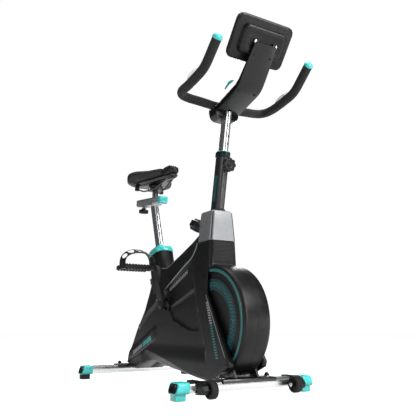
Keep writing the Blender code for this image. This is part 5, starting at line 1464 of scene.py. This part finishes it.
def seat_column():
    dress("frame_seat_tube", PAINT, width=0.001)
    post = tube_post(SEAT_TOP, SEAT_AXIS, -0.17, 0.208, 0.212)
    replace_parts(loft("seat_post_tube", post, CHROME, "seat_stem", loop=True), "seat_post")
    dress("slider_cradle", SATIN, width=0.0012)
    dress("saddle_slider", SATIN, width=0.0006)
    steps = [(0.0585, 0.0412, -0.0327), (0.061, 0.0435, -0.0327), (0.0616, 0.0441, -0.0315),
        (0.0616, 0.0441, -0.0205), (0.0608, 0.0434, -0.016), (0.0592, 0.042, -0.011),
        (0.0566, 0.0396, -0.007), (0.0528, 0.0362, -0.0038), (0.0478, 0.032, -0.0008),
        (0.042, 0.0274, 0.0022), (0.0362, 0.0226, 0.0044), (0.0322, 0.0192, 0.0055),
        (0.0262, 0.0142, 0.0055), (0.025, 0.013, 0.0048), (0.025, 0.013, 0.0012), (0.043, 0.028, -0.0015),
        (0.0545, 0.0375, -0.0105)]
    rings = [ring(SEAT_TOP + SEAT_AXIS * up, SEAT_AXIS, oval(a, b, 72)) for a, b, up in steps]
    cap = loft("seat_collar", rings, TEAL_GLOSS, "frame", loop=True, smooth=50.0)
    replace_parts(cap, "seat_tube_cap")
    outer = [(0.0, 0.0004, -0.195), (0.0, 0.0, -0.16), (0.0, 0.0, -0.0385), (-0.0006, -0.0006, -0.0375),
        (-0.0006, -0.0006, -0.033), (-0.0028, -0.0028, -0.033), (-0.0028, -0.0028, -0.195)]
    rings = [ring(SEAT_TOP + SEAT_AXIS * up, SEAT_AXIS, oval(0.06 + a, 0.0426 + b, 96))
        for a, b, up in outer]
    sleeve = loft("seat_sleeve", rings, SHELL, "frame", loop=True)
    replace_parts(sleeve, "seat_tube_sleeve")
    block = []
    for along, grow in ((0.0753, 0.0), (0.0757, 0.0006), (0.09, 0.0006), (0.0935, -0.0002),
            (0.0955, -0.0018), (0.0963, -0.004)):
        block.append([slider_point(along, up, y) for y, up in rounded(0.0192 + grow, 0.0152 + grow,
            0.0048, 6)])
    cap = loft("slider_nose", block, TEAL_GLOSS, "saddle", smooth=50.0)
    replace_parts(cap, "slider_front_cap")
    end = []
    for along, grow in ((-0.1435, -0.0024), (-0.1466, -0.0024), (-0.1472, -0.001), (-0.1486, -0.0016),
            (-0.1492, -0.004)):
        end.append([slider_point(along, up, y) for y, up in rounded(0.019 + grow, 0.015 + grow, 0.0036,
            5)])
    loft("slider_end_plug", end, KNOB, "saddle")
    shapes = []
    for i in range(9):
        rings = []
        for up in (0.0149, 0.0153):
            rings.append([slider_point(-0.085 + 0.0125 * i + u, up, v)
                for u, v in ((-0.0005, -0.006), (0.0005, -0.006), (0.0005, 0.006), (-0.0005, 0.006))])
        shapes.append(rings)
    several("slider_scale", shapes, KNOB, "saddle")


SADDLE_REAR, SADDLE_NOSE = -0.448, -0.14
SADDLE_TOP = 0.896


def saddle_section(x):
    """Half width, top and underside height of the saddle at a place along the bike."""
    t = (x - SADDLE_REAR) / (SADDLE_NOSE - SADDLE_REAR)
    half = 0.115 - 0.085 * min(1.0, max(0.0, (t - 0.18) / 0.5)) ** 1.15
    top = (0.895 - 0.016 * math.sin(math.pi * min(1.0, max(0.0, (t - 0.1) / 0.8))) - 0.021 * fade(t, 0.55,
        1.0))
    under = 0.8235 + 0.0195 * min(1.0, max(0.0, t / 0.55)) - 0.011 * fade(t, 0.6, 1.0)
    return half, top, under


def saddle_ring(x, shrink, power=3.4):
    """Closed section of the cushion, a fuller curve above than below."""
    half, top, under = saddle_section(x)
    rear_round = max(0.0, 1.0 - ((x - SADDLE_REAR) / 0.055)) if x < -0.393 else 0.0
    nose_round = max(0.0, (x + 0.18) / 0.04) if x > -0.18 else 0.0
    close = math.sqrt(max(0.0, 1.0 - max(rear_round, nose_round) ** 2))
    half = (half - shrink) * (0.3 + 0.7 * close)
    high = top - shrink
    low = under + shrink * 0.4 - 0.006 * fade(abs(x + 0.33), 0.03, 0.09) * (x < -0.33)
    mid = low + 0.36 * (high - low)
    shape_high = (high - mid) * (0.35 + 0.65 * close)
    shape_low = (mid - low) * (0.55 + 0.45 * close)
    points = []
    for i in range(48):
        angle = 2.0 * math.pi * (i + 0.5) / 48
        c = math.cos(angle)
        s = math.sin(angle)
        bend = power if s > 0.0 else 4.5
        u = squared_off(c, bend)
        v = squared_off(s, bend)
        points.append(Vector((x, half * u, mid + (shape_high if v > 0 else shape_low) * v)))
    return points


def inflate(piece, pressure, cap, voxel):
    """Remesh a soft piece, blow it up with cloth, and keep every point within the cap."""
    bpy.context.view_layer.objects.active = piece
    remesh = piece.modifiers.new("remesh", "REMESH")
    remesh.mode = "VOXEL"
    remesh.voxel_size = voxel
    graph = bpy.context.evaluated_depsgraph_get()
    start = bpy.data.meshes.new_from_object(piece.evaluated_get(graph))
    piece.modifiers.clear()
    old = piece.data
    piece.data = start
    bpy.data.meshes.remove(old)
    before = [v.co.copy() for v in start.vertices]
    cloth = piece.modifiers.new("cloth", "CLOTH")
    cloth.settings.use_pressure = True
    cloth.settings.uniform_pressure_force = pressure
    cloth.settings.effector_weights.gravity = 0.0
    cloth.settings.quality = 6
    scene = bpy.context.scene
    for number in range(1, 21):
        scene.frame_set(number)
    graph = bpy.context.evaluated_depsgraph_get()
    made = bpy.data.meshes.new_from_object(piece.evaluated_get(graph))
    piece.modifiers.clear()
    piece.data = made
    bpy.data.meshes.remove(start)
    for vertex, rest in zip(made.vertices, before):
        move = vertex.co - rest
        if move.length > cap:
            vertex.co = rest + move * (cap / move.length)
    scene.frame_set(1)


def saddle():
    stations = [SADDLE_REAR + 0.0055 * i for i in range(57)]
    rings = [saddle_ring(x, 0.0045) for x in stations]
    cushion = loft("saddle_pad", rings, LEATHER, "saddle", smooth=80.0)
    inflate(cushion, 4.0, 0.006, 0.0045)
    for vertex in cushion.data.vertices:
        x, y, z = vertex.co
        under = saddle_section(min(SADDLE_NOSE, max(SADDLE_REAR, x)))[2]
        groove = 0.0045 * (1.0 - fade(abs(y), 0.004, 0.016))
        groove *= fade(x, -0.425, -0.39) * fade(x, -0.18, -0.215)
        if z > under + 0.012:
            z -= groove
        seam = abs(z - (under + 0.0105))
        if seam < 0.003:
            y -= math.copysign(0.0012 * (1.0 - seam / 0.003), y)
        vertex.co = (min(SADDLE_NOSE + 0.001, max(SADDLE_REAR - 0.001, x)), y, min(z, SADDLE_TOP))
    cushion.data.materials.clear()
    cushion.data.materials.append(LEATHER)
    cushion.data.shade_smooth()
    subdivide(cushion)
    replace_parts(cushion, "saddle_cushion")
    saddle_under()


def saddle_under():
    """Shell under the cushion, its steel rails, the bumpers and the clamp."""
    rings = []
    for x, half, z_low, z_high in ((-0.425, 0.076, 0.8225, 0.826), (-0.421, 0.08, 0.8205, 0.8264),
            (-0.4, 0.08, 0.819, 0.827), (-0.36, 0.072, 0.8182, 0.8284), (-0.32, 0.059, 0.8185, 0.8308),
            (-0.29, 0.043, 0.8225, 0.8333), (-0.26, 0.032, 0.822, 0.835), (-0.23, 0.025, 0.8205, 0.8353),
            (-0.195, 0.022, 0.8165, 0.8335), (-0.164, 0.0195, 0.8165, 0.832),
            (-0.156, 0.014, 0.823, 0.832)):
        row = []
        for i in range(24):
            u = -1.0 + 2.0 * i / 23
            row.append(Vector((x, half * u, z_low + (z_high - z_low) * 0.85 * abs(u) ** 3)))
        row += [Vector((x, half * 0.98, z_high)), Vector((x, -half * 0.98, z_high))]
        rings.append(row)
    shell = loft("saddle_shell", rings, SHELL_GLOSS, "saddle", smooth=40.0)
    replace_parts(shell, "saddle_base")
    for label, side in SIDES:
        path = smooth_path([Vector((x, side * y, z)) for x, y, z in ((-0.413, 0.056, 0.82),
            (-0.404, 0.05, 0.811), (-0.387, 0.04, 0.801), (-0.364, 0.03, 0.7975), (-0.32, 0.024, 0.7965),
            (-0.285, 0.022, 0.799), (-0.23, 0.017, 0.812), (-0.19, 0.013, 0.8235))], 6)
        loft(f"saddle_rail_{label}", sweep(path, lambda i: circle(0.0034, 16)), STEEL_DARK, "saddle")
        profile = ((0.0001, 0.0), (0.0085, 0.0), (0.01, 0.0015), (0.0104, 0.006), (0.0092, 0.0085),
            (0.01, 0.0105), (0.0104, 0.015), (0.009, 0.0175), (0.0001, 0.0175))
        turned(f"saddle_bumper_{label}", profile, (-0.396, side * 0.06, 0.802), (0, 0, 1), RUBBER,
            "saddle", 40)
    dress("saddle_clamp", PAINT, width=0.0015)
    base = slider_point(0.008, 0.0168)
    shapes = []
    for side in (-1.0, 1.0):
        nut = ((0.0001, 0.0238), (0.0072, 0.0238), (0.0072, 0.029), (0.0056, 0.0304), (0.0001, 0.0304))
        rings = turned_rings(nut, (base.x, 0.0, base.z + 0.039), (0, side, 0), 6)
        shapes.append(rings)
    several("saddle_clamp_nuts", shapes, STEEL, "saddle", 25.0)


def bar_plates():
    """Pressed plates on top of the floor bars, with short lips down their sides."""
    for end in ("front", "rear"):
        x = middle(f"{end}_floor_bar").x
        low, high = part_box(f"{end}_bar_saddle")
        half = (high.x - low.x) / 2
        section = [(-half, low.z), (-half, high.z - 0.005), (-half + 0.0016, high.z - 0.0016),
            (-half + 0.005, high.z), (half - 0.005, high.z), (half - 0.0016, high.z - 0.0016),
            (half, high.z - 0.005), (half, low.z), (half - 0.003, low.z),
            (half - 0.0032, high.z - 0.0042), (-half + 0.0032, high.z - 0.0042), (-half + 0.003, low.z)]
        rings = []
        for y, drop in ((-high.y, 0.0012), (-high.y + 0.0012, 0.0), (high.y - 0.0012, 0.0),
                (high.y, 0.0012)):
            rings.append([Vector((x + u * (1.0 - drop * 6.0), y, z - drop * 0.3)) for u, z in section])
        plate = loft(f"{end}_bar_plate", rings, PAINT, "frame", smooth=25.0)
        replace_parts(plate, f"{end}_bar_saddle")


def dress_the_rest():
    for node, mat, width in (("front_floor_bar", CHROME, 0.0), ("rear_floor_bar", CHROME, 0.0),
            ("rear_foot_left", RUBBER, 0.0006), ("rear_foot_right", RUBBER, 0.0006),
            ("transport_bracket_left", KNOB, 0.001), ("transport_bracket_right", KNOB, 0.001),
            ("frame_main_beam", PAINT, 0.0015), ("frame_fork", PAINT, 0.001), ("flywheel", IRON, 0.0008),
            ("flywheel_axle", STEEL, 0.0005), ("brake_magnet_arm", STEEL, 0.0005)):
        dress(node, mat, width=width)


# ---- staging ---------------------------------------------------------------------------------
CAMERA_PLACE = Vector((1.8049, -1.0434, 0.2148))
CAMERA_TURN = math.radians(31.61)
CAMERA_PITCH = math.radians(12.02)
FLOOR_GLOW = 0.93                 # lifts the lit floor to the backdrop's white
BACKDROP_GLOW = 1.02


def stage_camera():
    data = bpy.data.cameras.new("camera")
    data.lens = 47.71
    data.sensor_width = 36.0
    data.clip_end = 60.0
    camera = bpy.data.objects.new("camera", data)
    bpy.context.collection.objects.link(camera)
    flat = math.cos(CAMERA_PITCH)
    look = Vector((-math.cos(CAMERA_TURN) * flat, math.sin(CAMERA_TURN) * flat, math.sin(CAMERA_PITCH)))
    camera.location = CAMERA_PLACE
    camera.rotation_euler = look.to_track_quat("-Z", "Y").to_euler()
    bpy.context.scene.camera = camera


def area_light(name, place, target, size, power):
    data = bpy.data.lights.new(name, "AREA")
    data.shape = "RECTANGLE"
    data.size, data.size_y = size
    data.energy = power
    lamp = bpy.data.objects.new(name, data)
    bpy.context.collection.objects.link(lamp)
    lamp.location = place
    lamp.rotation_euler = (Vector(target) - Vector(place)).to_track_quat("-Z", "Y").to_euler()


def stage_object(name, bm, material):
    """Turn a bmesh into part of the stage."""
    mesh = bpy.data.meshes.new(name)
    bm.to_mesh(mesh)
    bm.free()
    mesh.materials.append(material)
    made = bpy.data.objects.new(name, mesh)
    bpy.context.collection.objects.link(made)
    return made


def stage_room():
    """Pale floor, a white backdrop that only the camera sees, and soft studio light."""
    scene = bpy.context.scene
    scene.view_settings.view_transform = "Standard"
    bm = bmesh.new()
    bmesh.ops.create_grid(bm, x_segments=8, y_segments=8, size=14.0)
    pale = new_material("floor_white", (0.5, 0.5, 0.5), 0.75, specular=0.05)
    shader = pale.node_tree.nodes["Principled BSDF"]
    shader.inputs["Emission Color"].default_value = (1.0, 1.0, 1.0, 1.0)
    shader.inputs["Emission Strength"].default_value = FLOOR_GLOW
    vary_colour(pale, noise(pale.node_tree, 1.5), (0.49, 0.49, 0.49), (0.52, 0.52, 0.52))
    floor = stage_object("floor", bm, pale)
    floor.location.z = -0.0006
    floor.visible_diffuse = False
    bm = bmesh.new()
    bmesh.ops.create_icosphere(bm, subdivisions=4, radius=13.0)
    white = bpy.data.materials.new("backdrop_white")
    white.use_nodes = True
    tree = white.node_tree
    tree.nodes.clear()
    glow = tree.nodes.new("ShaderNodeEmission")
    glow.inputs["Color"].default_value = (1.0, 1.0, 1.0, 1.0)
    glow.inputs["Strength"].default_value = BACKDROP_GLOW
    output = tree.nodes.new("ShaderNodeOutputMaterial")
    tree.links.new(glow.outputs["Emission"], output.inputs["Surface"])
    dome = stage_object("backdrop", bm, white)
    for ray in ("visible_diffuse", "visible_glossy", "visible_transmission", "visible_shadow",
            "visible_volume_scatter"):
        setattr(dome, ray, False)
    world = bpy.data.worlds.new("studio")
    world.use_nodes = True
    world.node_tree.nodes["Background"].inputs["Color"].default_value = (0.92, 0.95, 1.0, 1.0)
    world.node_tree.nodes["Background"].inputs["Strength"].default_value = 0.1
    scene.world = world
    area_light("key", (2.6, 0.9, 2.4), (0.05, 0.0, 0.55), (1.4, 1.4), 90.0)
    area_light("strip", (3.2, 0.15, 0.9), (0.05, 0.0, 0.6), (0.35, 2.4), 52.0)
    area_light("fill", (0.2, -3.2, 1.6), (0.0, 0.0, 0.55), (2.0, 1.4), 30.0)
    area_light("rear_rim", (-2.4, 1.6, 2.2), (-0.1, 0.0, 0.6), (1.2, 1.2), 50.0)
    area_light("top", (0.0, 0.0, 3.4), (0.0, 0.0, 0.5), (2.4, 2.4), 60.0)
    area_light("front_low", (2.2, 2.2, 0.28), (0.3, 0.0, 0.1), (3.0, 0.5), 20.0)
    area_light("low", (1.2, -1.8, 0.05), (0.0, 0.0, 0.75), (1.6, 0.5), 7.0)


stage_camera()
stage_room()
side_covers()
cover_prints()
cover_trim()
flywheel_shroud()
head_cowl()
front_cover()
end_caps()
base_bolts()
transport_wheels()
knobs()
pedals()
cranks()
handlebar()
bracket()
bracket_details()
head_post()
console()
seat_column()
saddle()
bar_plates()
dress_the_rest()
